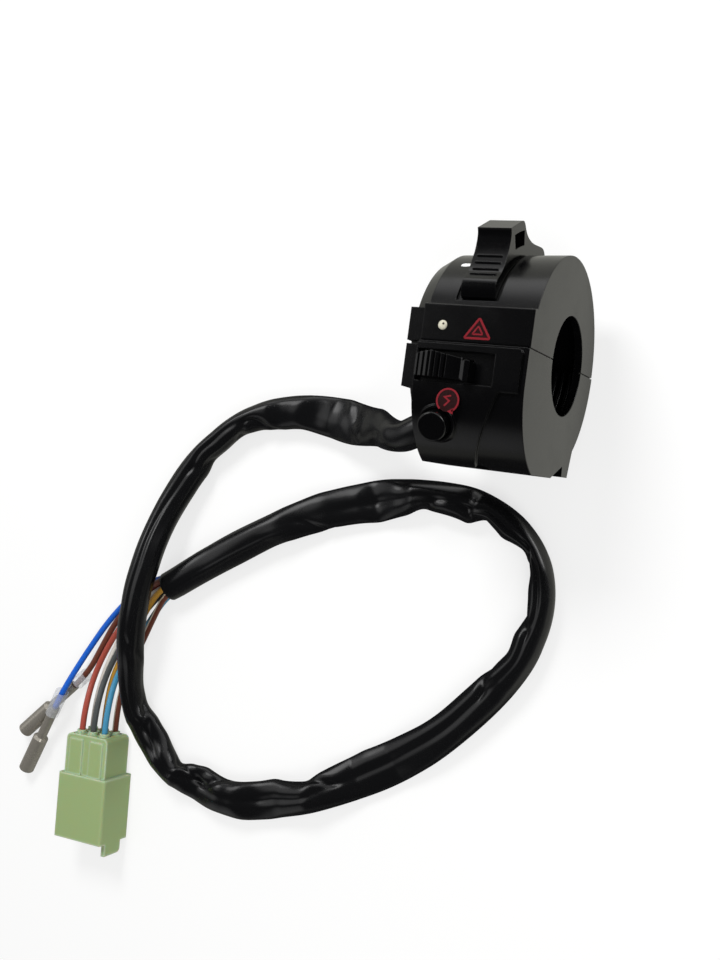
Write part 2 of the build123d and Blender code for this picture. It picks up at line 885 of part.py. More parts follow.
hazard_carrier_half_x = 5.15
hazard_carrier_x = (hazard_stem_x - hazard_carrier_half_x, hazard_stem_x + hazard_carrier_half_x)
hazard_carrier_half = 4.4
hazard_carrier_top = 33.6
hazard_pad = 0.25
hazard_strip_low = hazard_board_top + hazard_pad + 2 * running_gap
hazard_strip_top = hazard_strip_low + contact_thickness
hazard_spring_top = hazard_stem_reach - 2 * spring_room
hazard_ball_z = hazard_board_top + ball_radius + ball_lift
hazard_spring_low = hazard_ball_z + ball_radius + spring_room
hazard_axis = Plane(origin=(0, hazard_middle, 0))
with BuildPart() as hazard_carrier:
    block(
        hazard_carrier_x,
        (hazard_middle - hazard_carrier_half, hazard_middle + hazard_carrier_half),
        (hazard_strip_top, hazard_carrier_top),
    )
    block(
        (hazard_stem_span[0] - running_gap, hazard_stem_span[1] + running_gap),
        (hazard_middle - hazard_stem_half - running_gap, hazard_middle + hazard_stem_half + running_gap),
        (hazard_stem_reach, hazard_carrier_top + overrun),
        mode=Mode.SUBTRACT,
    )
    with BuildSketch(hazard_axis.offset(hazard_strip_low)) as bore_face:
        Circle(ball_hole)
    extrude(bore_face.sketch, amount=hazard_spring_top - hazard_strip_low, mode=Mode.SUBTRACT)
save(hazard_carrier, "hazard_carrier")

strip_half_x = 2.6
strip_half_y = 3.6
with BuildPart() as hazard_contact:
    block(
        (-strip_half_x, strip_half_x),
        (hazard_middle - strip_half_y, hazard_middle + strip_half_y),
        (hazard_strip_low, hazard_strip_top),
    )
    with BuildSketch(hazard_axis.offset(hazard_strip_low - overrun)) as hole_face:
        Circle(contact_hole)
    extrude(hole_face.sketch, amount=2 * overrun + contact_thickness, mode=Mode.SUBTRACT)
save(hazard_contact, "hazard_contact")

with BuildPart() as hazard_detent_ball:
    with Locations((0, hazard_middle, hazard_ball_z)):
        Sphere(ball_radius)
save(hazard_detent_ball, "hazard_detent_ball")

with BuildPart() as hazard_detent_spring:
    spring_length = hazard_spring_top - hazard_spring_low
    add(coil(hazard_axis.offset(hazard_spring_low), spring_length, spring_radius, spring_wire, spring_pitch))
save(hazard_detent_spring, "hazard_detent_spring")

hazard_board_x = (inner_left, partition_x)
with BuildPart() as hazard_terminal_board:
    block(hazard_board_x, hazard_board_y, (hazard_board_top - board_thickness, hazard_board_top))
save(hazard_terminal_board, "hazard_terminal_board")

hazard_pad_half = 1.5
hazard_pad_near = 1.7
hazard_pad_far = 3.3
hazard_pad_spans = [
    (hazard_middle - hazard_pad_far, hazard_middle - hazard_pad_near),
    (hazard_middle + hazard_pad_near, hazard_middle + hazard_pad_far),
]
with BuildPart() as hazard_fixed_contacts:
    for place in (0, hazard_travel):
        for span in hazard_pad_spans:
            block(
                (place - hazard_pad_half, place + hazard_pad_half),
                span,
                (hazard_board_top, hazard_board_top + hazard_pad),
            )
save(hazard_fixed_contacts, "hazard_fixed_contacts")

# Starter button with its flange and stem, then its return spring and switch case
button_stem = 1.8
button_stem_reach = 13.0
button_edge = 0.7
flange_top = button_step + sliding_gap
spring_coil_wire = 0.3
spring_coil_radius = 3.4
spring_coil_turns = 4
case_half_x = 5.2
case_half_y = 6.6
case_plate = 1.4
case_hole = 2.1
case_wall = 1.0
case_depth = 16.5
case_floor = 1.5
disc_radius = 3.4
with BuildPart() as starter_button:
    with BuildSketch(starter_plane.offset(button_proud)) as top_face:
        Circle(button_radius)
    extrude(top_face.sketch, amount=-button_proud - flange_top)
    fillet(starter_button.edges().sort_by(Axis(starter_plane.origin, starter_plane.z_dir))[-1], button_edge)
    with BuildSketch(starter_plane.offset(-flange_top)) as flange_face:
        Circle(flange_radius)
    extrude(flange_face.sketch, amount=-flange_thickness)
    with BuildSketch(starter_plane.offset(-flange_top)) as stem_face:
        Circle(button_stem)
    extrude(stem_face.sketch, amount=flange_top - button_stem_reach)
save(starter_button, "starter_button")

spring_seat = flange_top + flange_thickness
starter_spring_length = tube_depth - spring_seat
starter_pitch = (starter_spring_length - 2 * spring_coil_wire) / spring_coil_turns
with BuildPart() as starter_spring:
    add(
        coil(
            starter_plane.offset(-tube_depth),
            starter_spring_length,
            spring_coil_radius,
            spring_coil_wire,
            starter_pitch,
        )
    )
save(starter_spring, "starter_spring")

with BuildPart() as starter_contact:
    with BuildSketch(starter_plane.offset(-button_stem_reach)) as disc_face:
        Circle(disc_radius)
    extrude(disc_face.sketch, amount=-contact_thickness)
save(starter_contact, "starter_contact")

with BuildPart() as starter_case:
    with BuildSketch(starter_plane.offset(-tube_depth)) as case_face:
        Rectangle(2 * case_half_x, 2 * case_half_y)
    extrude(case_face.sketch, amount=-(case_depth + case_floor - tube_depth))
    with BuildSketch(starter_plane.offset(-tube_depth - case_plate)) as room_face:
        Rectangle(2 * (case_half_x - case_wall), 2 * (case_half_y - case_wall))
    extrude(room_face.sketch, amount=-(case_depth - tube_depth - case_plate), mode=Mode.SUBTRACT)
    with BuildSketch(starter_plane.offset(-tube_depth)) as hole_face:
        Circle(case_hole)
    extrude(hole_face.sketch, amount=-case_plate, mode=Mode.SUBTRACT)
save(starter_case, "starter_case")

fixed_pad_height = 0.4
fixed_pad_offset = 2.2
fixed_pad_half = 0.9
with BuildPart() as starter_fixed_contacts:
    with BuildSketch(starter_plane.offset(-case_depth)) as pad_face:
        with Locations((-fixed_pad_offset, 0), (fixed_pad_offset, 0)):
            Rectangle(2 * fixed_pad_half, 2 * fixed_pad_half)
    extrude(pad_face.sketch, amount=fixed_pad_height)
save(starter_fixed_contacts, "starter_fixed_contacts")

# Grommet round the harness sleeve, in the neck's end wall
with BuildPart() as harness_grommet:
    exit_cylinder(grommet_radius)
    block(
        (neck_end, neck_inner),
        (-panel_drop, 0),
        (-neck_radius, neck_radius),
        mode=Mode.INTERSECT,
    )
    exit_cylinder(sleeve_outer + running_gap, mode=Mode.SUBTRACT)
save(harness_grommet, "harness_grommet")

# Connector at the end of the harness: its frame runs from the wire face to the mouth
connector_x = -147.0
connector_y = -152.8
connector_yaw_angle = 3.5
pin_offset = 5.4
row_offset = 3.1
wire_stub = 8.0
shroud_wall = 1.6
shroud_back = 3.0
shroud_edge = 0.8
connector_plane = Plane(
    origin=(connector_x, connector_y, table_z),
    x_dir=(cos(radians(connector_yaw_angle)), sin(radians(connector_yaw_angle)), 0),
    z_dir=(0, 0, 1),
)
mouth_y = -wire_block_length - connector_length
connector_middle = connector_height / 2


def connector_point(x, y, z):
    """A point given in the connector's own frame."""
    point = connector_plane.from_local_coords(Vector(x, y, z))
    return (point.X, point.Y, point.Z)


# Sleeve and wires: points of straight runs joined by tangent arcs
rest_gap = 0.05
sleeve_rest = table_z + sleeve_outer + rest_gap
wire_rest = table_z + wire_diameter / 2 + rest_gap
bullet_rest = table_z + bullet_diameter / 2 + rest_gap
bend_share = 0.45
exit_inset = 2.3
exit_outset = 9.9
exit_start = exit_plane.offset(-exit_inset).origin
exit_onward = exit_plane.offset(exit_outset).origin
sleeve_route = [
    (exit_start.X, exit_start.Y, exit_start.Z),
    (exit_onward.X, exit_onward.Y, exit_onward.Z),
    (-34.5, -27.2, -5.0),
    (-49.0, -26.0, -13.6),
    (-65.0, -22.5, -20.8),
    (-83.0, -20.4, sleeve_rest),
    (-101.5, -24.2, sleeve_rest),
    (-120.0, -40.0, sleeve_rest),
    (-131.5, -64.0, -20.0),
    (-134.0, -88.0, -12.0),
    (-133.2, -110.0, -12.0),
    (-131.5, -132.0, -20.5),
    (-119.0, -152.0, sleeve_rest),
    (-94.0, -165.0, sleeve_rest),
    (-66.0, -163.0, sleeve_rest),
    (-35.0, -148.0, sleeve_rest),
    (-9.0, -128.5, sleeve_rest),
    (10.7, -104.2, sleeve_rest),
    (20.0, -87.5, sleeve_rest),
    (20.0, -68.5, sleeve_rest),
    (10.5, -52.0, sleeve_rest),
    (-6.0, -42.5, sleeve_rest),
    (-26.0, -42.4, sleeve_rest),
    (-49.0, -47.8, sleeve_rest),
    (-87.0, -65.8, sleeve_rest),
    (-121.5, -88.9, sleeve_rest),
]
sleeve_end = Vector(*sleeve_route[-1])
sleeve_heading = (sleeve_end - Vector(*sleeve_route[-2])).normalized()
sleeve_side = Vector(sleeve_heading.Y, -sleeve_heading.X, 0)
exit_run = 6.0
exit_ring = 3.2
wire_angles = {
    "blue": 0.0,
    "brown": 51.4,
    "red": -51.4,
    "grey": -102.9,
    "orange": 102.9,
    "light_blue": -154.3,
    "brown_striped": 154.3,
}


def wire_start(name):
    """Where a wire leaves the sleeve, and the end of its straight run there."""
    place = sleeve_end
    if name in wire_angles:
        angle = radians(wire_angles[name])
        place = place + sleeve_side * (exit_ring * cos(angle)) + Vector(0, 0, exit_ring * sin(angle))
    onward = place + sleeve_heading * exit_run
    return [(place.X, place.Y, place.Z), (onward.X, onward.Y, onward.Z)]


def wire_finish(column, row):
    """The straight run into one of the connector's wire entries."""
    x = column * pin_offset
    z = connector_middle + row * row_offset
    return [connector_point(x, wire_stub, z), connector_point(x, 0, z)]


# Bullet terminals: where each starts and where its tip rests, the first across the second
bullet_stub = 8.0
bullet_starts = [(-170.6, -147.9, -21.0), (-165.5, -138.5, bullet_rest)]
bullet_tips = [(-184.7, -176.5, bullet_rest), (-187.7, -161.5, bullet_rest)]


def bullet_heading(index):
    """The way a bullet terminal points."""
    return (Vector(*bullet_tips[index]) - Vector(*bullet_starts[index])).normalized()


def bullet_finish(index):
    """The straight run into a bullet terminal."""
    place = Vector(*bullet_starts[index])
    before = place - bullet_heading(index) * bullet_stub
    return [(before.X, before.Y, before.Z), (place.X, place.Y, place.Z)]


wire_middles = {
    "blue": [(-138.3, -92.7, -26.9), (-152.8, -108.0, wire_rest), (-162.6, -126.0, -25.2)],
    "brown": [(-137.0, -94.5, -24.6), (-150.7, -109.6, wire_rest), (-156.0, -121.5, -26.8)],
    "red": [(-136.1, -95.9, wire_rest), (-148.6, -111.2, wire_rest), (-156.4, -130.0, -25.4)],
    "white": [(-135.0, -97.5, -24.7), (-146.5, -112.7, wire_rest), (-153.6, -131.5, wire_rest)],
    "grey": [(-134.1, -98.9, wire_rest), (-144.5, -114.3, wire_rest), (-151.0, -131.0, -25.0)],
    "orange": [(-133.3, -100.0, -23.6), (-142.4, -115.8, wire_rest), (-149.2, -131.0, wire_rest)],
    "light_blue": [(-132.0, -102.0, wire_rest), (-140.3, -117.4, wire_rest), (-146.4, -131.0, -25.4)],
    "brown_striped": [(-131.0, -103.5, -24.6), (-138.2, -119.0, wire_rest), (-143.6, -131.0, wire_rest)],
}
wire_ends = {
    "blue": bullet_finish(0),
    "brown": bullet_finish(1),
    "red": wire_finish(-1, 1),
    "white": wire_finish(-1, -1),
    "grey": wire_finish(0, 1),
    "orange": wire_finish(0, -1),
    "light_blue": wire_finish(1, 1),
    "brown_striped": wire_finish(1, -1),
}
wire_routes = {}
for name, middle in wire_middles.items():
    wire_routes[name] = wire_start(name) + middle + wire_ends[name]


def bend_radii(route):
    """Each bend's radius, from the shorter run beside it and its turn."""
    radii = []
    for before, here, after in zip(route, route[1:], route[2:]):
        run_in = Vector(*here) - Vector(*before)
        run_out = Vector(*after) - Vector(*here)
        turn = radians(run_in.get_angle(run_out))
        shorter = min(run_in.length, run_out.length)
        radii.append(bend_share * shorter / tan(turn / 2))
    return radii


def cord(route, radius, name):
    """A round cord along a route, with its bend radii and volume printed."""
    radii = bend_radii(route)
    with BuildPart() as piece:
        with BuildLine() as path:
            FilletPolyline(*route, radius=radii)
        centreline = path.wire()
        with BuildSketch(Plane(origin=centreline @ 0, z_dir=centreline % 0)) as ring:
            Circle(radius)
        sweep(ring.sketch, path=centreline)
    length = centreline.length
    section = pi * radius**2
    print(name, "length", round(length, 1), "volume share", round(piece.part.volume / (section * length), 4))
    print("  bend radii", [round(value, 1) for value in radii])
    return piece


harness_sleeve = cord(sleeve_route, sleeve_outer, "harness_sleeve")
save(harness_sleeve, "harness_sleeve")
for name, route in wire_routes.items():
    save(cord(route, wire_diameter / 2, f"wire_{name}"), f"wire_{name}")

# Bullet terminals, a crimp and an open barrel, with clear sleeves round their wires
bullet_crimp = 1.9
bullet_crimp_length = 15.0
bullet_shoulder = 0.8
bullet_bore = 2.0
bullet_bore_depth = 12.0
bullet_barrel = bullet_diameter / 2
bullet_profile = [
    (0, 0),
    (bullet_crimp, 0),
    (bullet_crimp, bullet_crimp_length),
    (bullet_barrel, bullet_crimp_length + bullet_shoulder),
    (bullet_barrel, bullet_length),
    (bullet_bore, bullet_length),
    (bullet_bore, bullet_length - bullet_bore_depth),
    (0, bullet_length - bullet_bore_depth),
]
cover_wall = 0.25
cover_outer = 2.65
cover_inner = cover_outer - cover_wall
cover_run_shares = [(-1.0, 0.44), (-0.94, -0.19)]


def bullet_frame(index):
    """A plane whose X points away from a terminal's axis and whose Y runs along it."""
    heading = bullet_heading(index)
    side = Vector(heading.Y, -heading.X, 0).normalized()
    return Plane(origin=bullet_starts[index], x_dir=side, z_dir=side.cross(heading))


with BuildPart() as bullet_terminals:
    for index in range(len(bullet_starts)):
        frame = bullet_frame(index)
        with BuildSketch(frame) as profile:
            with BuildLine():
                Polyline(*bullet_profile, close=True)
            make_face()
        revolve(profile.sketch, axis=Axis(frame.origin, frame.y_dir), revolution_arc=360)
save(bullet_terminals, "bullet_terminals")

with BuildPart() as terminal_covers:
    for index, (start_share, end_share) in enumerate(cover_run_shares):
        frame = bullet_frame(index)
        cover_length = (end_share - start_share) * bullet_stub
        start = frame.origin + frame.y_dir * (start_share * bullet_stub)
        with BuildSketch(Plane(origin=start, z_dir=frame.y_dir)) as cover_face:
            Circle(cover_outer)
            Circle(cover_inner, mode=Mode.SUBTRACT)
        extrude(cover_face.sketch, amount=cover_length)
save(terminal_covers, "terminal_covers")

# Connector housing: shroud with a mouth, wire block with raised panels, seals and a tongue
block_low = (connector_height - wire_block_height) / 2
block_high = connector_height - block_low
block_half = wire_block_width / 2
block_round = 2.0
seal_radius = 1.9
seal_length = 1.2
panel_lift = 0.5
panel_gap_half = 1.6
panel_margin = 1.8
tongue_thickness = shroud_wall
tongue_low = 4.0
tongue_high = 13.0
tongue_reach = 4.5
tongue_root = 3.0
tongue_round = 1.5
half_width = connector_width / 2
with BuildPart() as connector_housing:
    with BuildSketch(Plane.XY) as shroud_face:
        with Locations((0, (mouth_y - wire_block_length) / 2)):
            Rectangle(connector_width, connector_length)
    extrude(shroud_face.sketch, amount=connector_height)
    fillet(connector_housing.edges().filter_by(Axis.Y), shroud_edge)
    with BuildSketch(Plane.XY.offset(block_low)) as block_face:
        with Locations((0, -(wire_block_length + overrun) / 2)):
            Rectangle(wire_block_width, wire_block_length + overrun)
        fillet(block_face.vertices().sort_by(Axis.Y)[-2:], block_round)
    extrude(block_face.sketch, amount=wire_block_height)
    block(
        (-half_width + shroud_wall, half_width - shroud_wall),
        (mouth_y - overrun, -wire_block_length - shroud_back),
        (shroud_wall, connector_height - shroud_wall),
        mode=Mode.SUBTRACT,
    )
    # Raised panels on both broad faces of the wire block, either side of a channel
    for side in (-1, 1):
        panel_span = sorted((side * panel_gap_half, side * (block_half - panel_margin)))
        for low, high in ((block_low - panel_lift, block_low), (block_high, block_high + panel_lift)):
            block(panel_span, (-wire_block_length, -panel_margin), (low, high))
    # Tongue that runs on past the mouth in the right wall's plane
    with BuildSketch(Plane.YZ.offset(half_width - tongue_thickness)) as tongue_face:
        with Locations((mouth_y + (tongue_root - tongue_reach) / 2, (tongue_low + tongue_high) / 2)):
            Rectangle(tongue_root + tongue_reach, tongue_high - tongue_low)
        fillet(tongue_face.vertices().sort_by(Axis.Y)[:2], tongue_round)
    extrude(tongue_face.sketch, amount=tongue_thickness)
    for column in (-1, 0, 1):
        for row in (-1, 1):
            with BuildSketch(Plane.XZ) as seal_face:
                with Locations((column * pin_offset, connector_middle + row * row_offset)):
                    Circle(seal_radius)
                    Circle(wire_diameter / 2 + running_gap, mode=Mode.SUBTRACT)
            extrude(seal_face.sketch, amount=-seal_length)
connector_housing.part.locate(connector_plane.location)

blade_width = 2.2
blade_thickness = 0.7
blade_length = 9.0
blade_start = -wire_block_length - shroud_back
with BuildPart() as connector_pins:
    for column in (-1, 0, 1):
        for row in (-1, 1):
            x = column * pin_offset
            z = connector_middle + row * row_offset
            block(
                (x - blade_width / 2, x + blade_width / 2),
                (blade_start - blade_length, blade_start),
                (z - blade_thickness / 2, z + blade_thickness / 2),
            )
connector_pins.part.locate(connector_plane.location)
save(connector_housing, "connector_housing")
save(connector_pins, "connector_pins")
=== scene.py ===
import json
import math

import bmesh
import bpy
from mathutils import Matrix, Vector, noise


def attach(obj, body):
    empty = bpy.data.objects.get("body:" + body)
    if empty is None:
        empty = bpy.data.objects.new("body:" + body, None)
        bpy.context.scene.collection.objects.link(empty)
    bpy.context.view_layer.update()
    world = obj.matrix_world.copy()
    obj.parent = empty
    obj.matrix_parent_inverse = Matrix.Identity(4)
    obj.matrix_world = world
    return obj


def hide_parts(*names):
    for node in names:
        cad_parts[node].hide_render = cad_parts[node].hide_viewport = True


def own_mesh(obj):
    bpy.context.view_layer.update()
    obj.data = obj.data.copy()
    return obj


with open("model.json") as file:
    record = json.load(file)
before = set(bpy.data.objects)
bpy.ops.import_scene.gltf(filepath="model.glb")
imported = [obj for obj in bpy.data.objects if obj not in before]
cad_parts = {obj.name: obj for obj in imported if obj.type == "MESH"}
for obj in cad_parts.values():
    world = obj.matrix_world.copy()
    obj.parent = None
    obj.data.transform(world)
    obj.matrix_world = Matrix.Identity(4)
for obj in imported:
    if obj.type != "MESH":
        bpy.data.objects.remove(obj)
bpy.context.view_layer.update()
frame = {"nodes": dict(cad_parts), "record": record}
nodes = frame["nodes"]

# Metres in the part's own frame: X along the handlebar towards the grip, Z up from the table
tableZ = -0.0282
restGap = 0.00005  # how far a resting cord stays off the table
barAxisZ = 0.0038

cameraSettings = {
    "place": (0.1197, -0.0375, 0.3187),
    "right": (0.8858, 0.1321, -0.4448),
    "back": (0.4473, 0.0125, 0.8943),
    "lens": 41.25,
    "sensor": 36.0,
    "clip": (0.01, 20),
}


# Camera at the photograph's angle
def makeCamera(s):
    data = bpy.data.cameras.new("camera")
    data.lens = s["lens"]
    data.sensor_width = s["sensor"]
    data.clip_start, data.clip_end = s["clip"]
    camera = bpy.data.objects.new("camera", data)
    back = Vector(s["back"]).normalized()
    right = Vector(s["right"])
    right = (right - back * right.dot(back)).normalized()
    turn = Matrix((right, back.cross(right), back)).transposed()
    camera.matrix_world = Matrix.Translation(s["place"]) @ turn.to_4x4()
    bpy.context.scene.collection.objects.link(camera)
    bpy.context.scene.camera = camera


makeCamera(cameraSettings)
print("camera made")


# Object from a bmesh, with its faces turned outward
def newObject(name, bm, smooth=True, outward=True):
    if outward:
        bmesh.ops.recalc_face_normals(bm, faces=bm.faces)
    mesh = bpy.data.meshes.new(name)
    bm.normal_update()
    bm.to_mesh(mesh)
    bm.free()
    if smooth:
        mesh.polygons.foreach_set("use_smooth", [True] * len(mesh.polygons))
    piece = bpy.data.objects.new(name, mesh)
    bpy.context.scene.collection.objects.link(piece)
    return piece


# Faces between two rings that have the same number of points
def bridge(bm, before, after):
    for n in range(len(before)):
        m = (n + 1) % len(before)
        bm.faces.new((before[n], before[m], after[m], after[n]))


# Points along the smooth spline that has the route's points as control points
def linePoints(name, route, resolution):
    curve = bpy.data.curves.new(name, "CURVE")
    curve.dimensions = "3D"
    curve.resolution_u = resolution
    spline = curve.splines.new("NURBS")
    spline.points.add(len(route) - 1)
    for point, place in zip(spline.points, route):
        point.co = (*place, 1)
    spline.order_u = 3
    spline.use_endpoint_u = True
    holder = bpy.data.objects.new(name, curve)
    mesh = bpy.data.meshes.new_from_object(holder)
    points = [vertex.co.copy() for vertex in mesh.vertices]
    bpy.data.meshes.remove(mesh)
    bpy.data.objects.remove(holder)
    bpy.data.curves.remove(curve)
    return points


# The same line with points a steady step apart, and its length
def evenPoints(points, step):
    total = [0.0]
    for before, here in zip(points, points[1:]):
        total.append(total[-1] + (here - before).length)
    count = max(2, round(total[-1] / step))
    places, index = [], 0
    for k in range(count + 1):
        want = total[-1] * k / count
        while index < len(points) - 2 and total[index + 1] < want:
            index += 1
        run = total[index + 1] - total[index]
        share = (want - total[index]) / run if run else 0
        places.append(points[index].lerp(points[index + 1], share))
    return places, total[-1]


# Tangent, level side and upward direction at each point of a line
def tubeFrames(places):
    frames = []
    for k, place in enumerate(places):
        before = places[max(k - 1, 0)]
        after = places[min(k + 1, len(places) - 1)]
        ahead = (after - before).normalized()
        side = ahead.cross(Vector((0, 0, 1))).normalized()
        frames.append((place, ahead, side, side.cross(ahead)))
    return frames


# A tube whose ring at each point comes from section(distance, angle) as (side, up).
# inner is the depth of an open mouth at the far end and the share its inside is drawn in by.
def tubeMesh(name, places, sides, section, inner=None):
    bm = bmesh.new()
    layer = bm.loops.layers.uv.new("along")
    rings, runs, run = [], [], 0.0
    for k, (place, ahead, side, up) in enumerate(tubeFrames(places)):
        if k:
            run += (place - places[k - 1]).length
        runs.append(run)
        ring = []
        for n in range(sides):
            across, lift = section(run, 2 * math.pi * n / sides)
            ring.append(bm.verts.new(place + side * across + up * lift))
        rings.append(ring)
    if inner:
        depth, share = inner
        for k in range(len(rings) - 1, 0, -1):
            if run - runs[k] > depth:
                break
            middle = sum((vert.co for vert in rings[k]), Vector()) / sides
            rings.append([bm.verts.new(middle + (vert.co - middle) * share) for vert in rings[k]])
            runs.append(runs[k])
    for k in range(len(rings) - 1):
        for n in range(sides):
            m = (n + 1) % sides
            face = bm.faces.new((rings[k][n], rings[k][m], rings[k + 1][m], rings[k + 1][n]))
            rows = (runs[k], runs[k], runs[k + 1], runs[k + 1])
            turns = (n, n + 1, n + 1, n)
            for loop, row, turn in zip(face.loops, rows, turns):
                loop[layer].uv = (row, turn / sides)
    bm.faces.new(list(reversed(rings[0])))
    bm.faces.new(rings[-1])
    return newObject(name, bm)


# Cords follow the same route points as the solids
sleeveRadius = 0.0053
wireRadius = 0.00115
bulletRadius = 0.0030
sleeveRest = tableZ + sleeveRadius + restGap
wireRest = tableZ + wireRadius + restGap
bulletRest = tableZ + bulletRadius + restGap
sleeveRoute = [
    (-0.011139, -0.019913, 0.0010),
    (-0.022603, -0.024086, 0.0010),
    (-0.0345, -0.0272, -0.0050),
    (-0.0490, -0.0260, -0.0136),
    (-0.0650, -0.0225, -0.0208),
    (-0.0830, -0.0204, sleeveRest),
    (-0.1015, -0.0242, sleeveRest),
    (-0.1200, -0.0400, sleeveRest),
    (-0.1315, -0.0640, -0.0200),
    (-0.1340, -0.0880, -0.0120),
    (-0.1332, -0.1100, -0.0120),
    (-0.1315, -0.1320, -0.0205),
    (-0.1190, -0.1520, sleeveRest),
    (-0.0940, -0.1650, sleeveRest),
    (-0.0660, -0.1630, sleeveRest),
    (-0.0350, -0.1480, sleeveRest),
    (-0.0090, -0.1285, sleeveRest),
    (0.0107, -0.1042, sleeveRest),
    (0.0200, -0.0875, sleeveRest),
    (0.0200, -0.0685, sleeveRest),
    (0.0105, -0.0520, sleeveRest),
    (-0.0060, -0.0425, sleeveRest),
    (-0.0260, -0.0424, sleeveRest),
    (-0.0490, -0.0478, sleeveRest),
    (-0.0870, -0.0658, sleeveRest),
    (-0.1215, -0.0889, sleeveRest),
]
sleeveSettings = {
    "rings": 0.0008,  # distance from ring to ring
    "sides": 72,
    "resolution": 24,
    "mouth": 0.005,  # how far the open end goes past the route
    "mouthDepth": 0.010,
    "mouthShare": 0.9,
    "exit": (-0.0133, -0.0207, 0.0010),
    "length": 0.5955,
    # From here on in mm
    "lowest": 2.5,
    "highest": 5.1,
    "soften": (-1.6, -0.8, 0, 0.8, 1.6),
    "steady": 14,  # reach over which the middle line is averaged
    "flatFrom": (8, 26),
    "roundFrom": (575, 600),
    "roundShare": 0.85,
}

# How far the flattened sleeve reaches to each side of its line: run, inner side, outer side, in mm
sleeveEdges = [
    (0, 5.3, 5.3), (8, 5.3, 5.3), (17, 6.0, 4.0), (32, 3.7, 8.8), (54, 5.8, 9.1), (70, 5.7, 6.8),
    (81, 6.9, 5.0), (92, 6.2, 3.2), (102, 5.6, 2.7), (111, 6.3, 2.5), (119, 5.7, 3.0), (124, 7.7, 3.3),
    (134, 7.9, 3.4), (149, 7.8, 3.0), (169, 8.1, 2.8), (184, 6.8, 3.4), (193, 5.8, 4.9), (207, 3.6, 6.6),
    (217, 0.3, 8.6), (224, -0.4, 9.6), (229, 2.0, 10.0), (238, 2.7, 9.5), (245, 1.4, 9.1), (250, -0.2, 8.8),
    (252.5, 3.2, 8.6), (260, 6.1, 7.3), (271, 6.3, 6.0), (280, 7.2, 5.4), (295, 9.8, 3.7), (309, 7.9, 3.1),
    (315, 9.5, 3.0), (321, 10.3, 3.0), (335, 11.8, 3.0), (361, 10.1, 2.9), (379, 9.4, 2.8), (392, 9.0, 2.8),
    (396, 8.2, 2.8), (405, 6.7, 2.4), (413, 7.7, 2.3), (423, 5.1, 3.2), (431, 4.5, 3.8), (438, 2.2, 4.2),
    (440, 2.9, 4.2), (444, 1.5, 4.2), (453, 5.5, 4.2), (463, 4.6, 3.6), (469, 8.6, 3.5), (477, 7.5, 3.5),
    (489, 6.0, 4.0), (495, 7.9, 4.4), (507, 8.6, 5.5), (527, 6.5, 6.5), (551, 5.4, 6.3), (570, 5.6, 6.1),
    (582, 5.9, 6.0), (595, 6.3, 5.0), (606, 6.0, 4.6),
]

# Creases that start at the inner side: run, depth and how far each leans along the sleeve, in mm
sleeveCreases = [
    (34, 0.7, -8), (84, 0.9, 9), (102, 0.8, -7), (119, 0.8, 8), (204, 0.7, -8), (224, 1.2, 10),
    (250, 1.5, 11), (272, 0.9, -10), (309, 1.3, 12), (396, 1.0, -8), (423, 1.0, -8),
    (438, 0.9, 7), (463, 1.1, 8), (489, 0.9, -8), (527, 0.7, 10),
]

# Ridges along the top: the runs where each starts, is full, fades and ends, its angle, width and height
sleeveRidges = [((96, 108, 200, 216), 142, 5, 0.45), ((536, 548, 620, 640), 118, 6, 0.5)]

# Dents in the top: run, angle, reach and depth
sleeveDents = [
    (15.9, 90, 3.0, 0.6), (46, 95, 4.5, 0.8), (66, 100, 4.5, 0.9), (91, 140, 4.0, 0.8), (237, 115, 5.0, 0.7),
    (262, 90, 5.5, 0.9), (287, 88, 6.0, 1.3), (430, 110, 5.0, 0.5), (505, 95, 5.0, 0.9), (536, 95, 6.5, 0.8),
]

# Lengths and runs in mm, angles in degrees
foldSettings = {
    "creaseAngles": (82, 108, 168, 195),
    "creaseWidth": 2.3,
    "creaseReach": 12,
    "creaseTurn": 85,
    "creaseEnd": 545,
    "swell": 0.35,  # rise of the stretch between two creases
    "swellGap": 14,
    "troughRuns": (88, 104, 505, 540),
    "troughDepth": 0.75,
    "troughWidth": 14,
    "troughAngle": 98,
    "troughSway": 9,
    "swayPace": 0.035,
    "swayRow": 3,
    "wrinkleRun": 55,
    "wrinkleAngles": (20, 160),
    "wrinkleWidth": 2.2,
    "wrinkleLean": 10,
    "wrinkleHeight": 0.5,
    "dentAngle": 0.1,  # mm for each degree round the sleeve
    "dentRim": (0.3, 3, 1.5),
    "dentEnd": 3,  # reaches past which a dent no longer shows
    "lastAngle": 200,  # the sleeve's underside has no folds
    "crumple": 0.4,
    "crumpleAround": 1.1,
    "crumpleAlong": 0.045,
}


# 0 below low, 1 above high, and a smooth rise between them
def smoothStep(low, high, value):
    share = min(max((value - low) / (high - low), 0), 1)
    return share * share * (3 - 2 * share)


# 1 inside a stretch that starts, is full, fades and ends
def within(stretch, value):
    start, full, fade, end = stretch
    return smoothStep(start, full, value) * (1 - smoothStep(fade, end, value))


def bell(distance, width):
    return math.exp(-((distance / width) ** 2))


# One side's reach at a run in mm, straight between the rows of the table
def edgeAt(run, column):
    for before, after in zip(sleeveEdges, sleeveEdges[1:]):
        if run <= after[0]:
            share = max(run - before[0], 0) / (after[0] - before[0])
            return before[column] + (after[column] - before[column]) * share
    return sleeveEdges[-1][column]


# The same, averaged over a few mm so that only the sharpest corners stay
def softEdge(run, column):
    shifts = sleeveSettings["soften"]
    return sum(edgeAt(run + shift, column) for shift in shifts) / len(shifts)


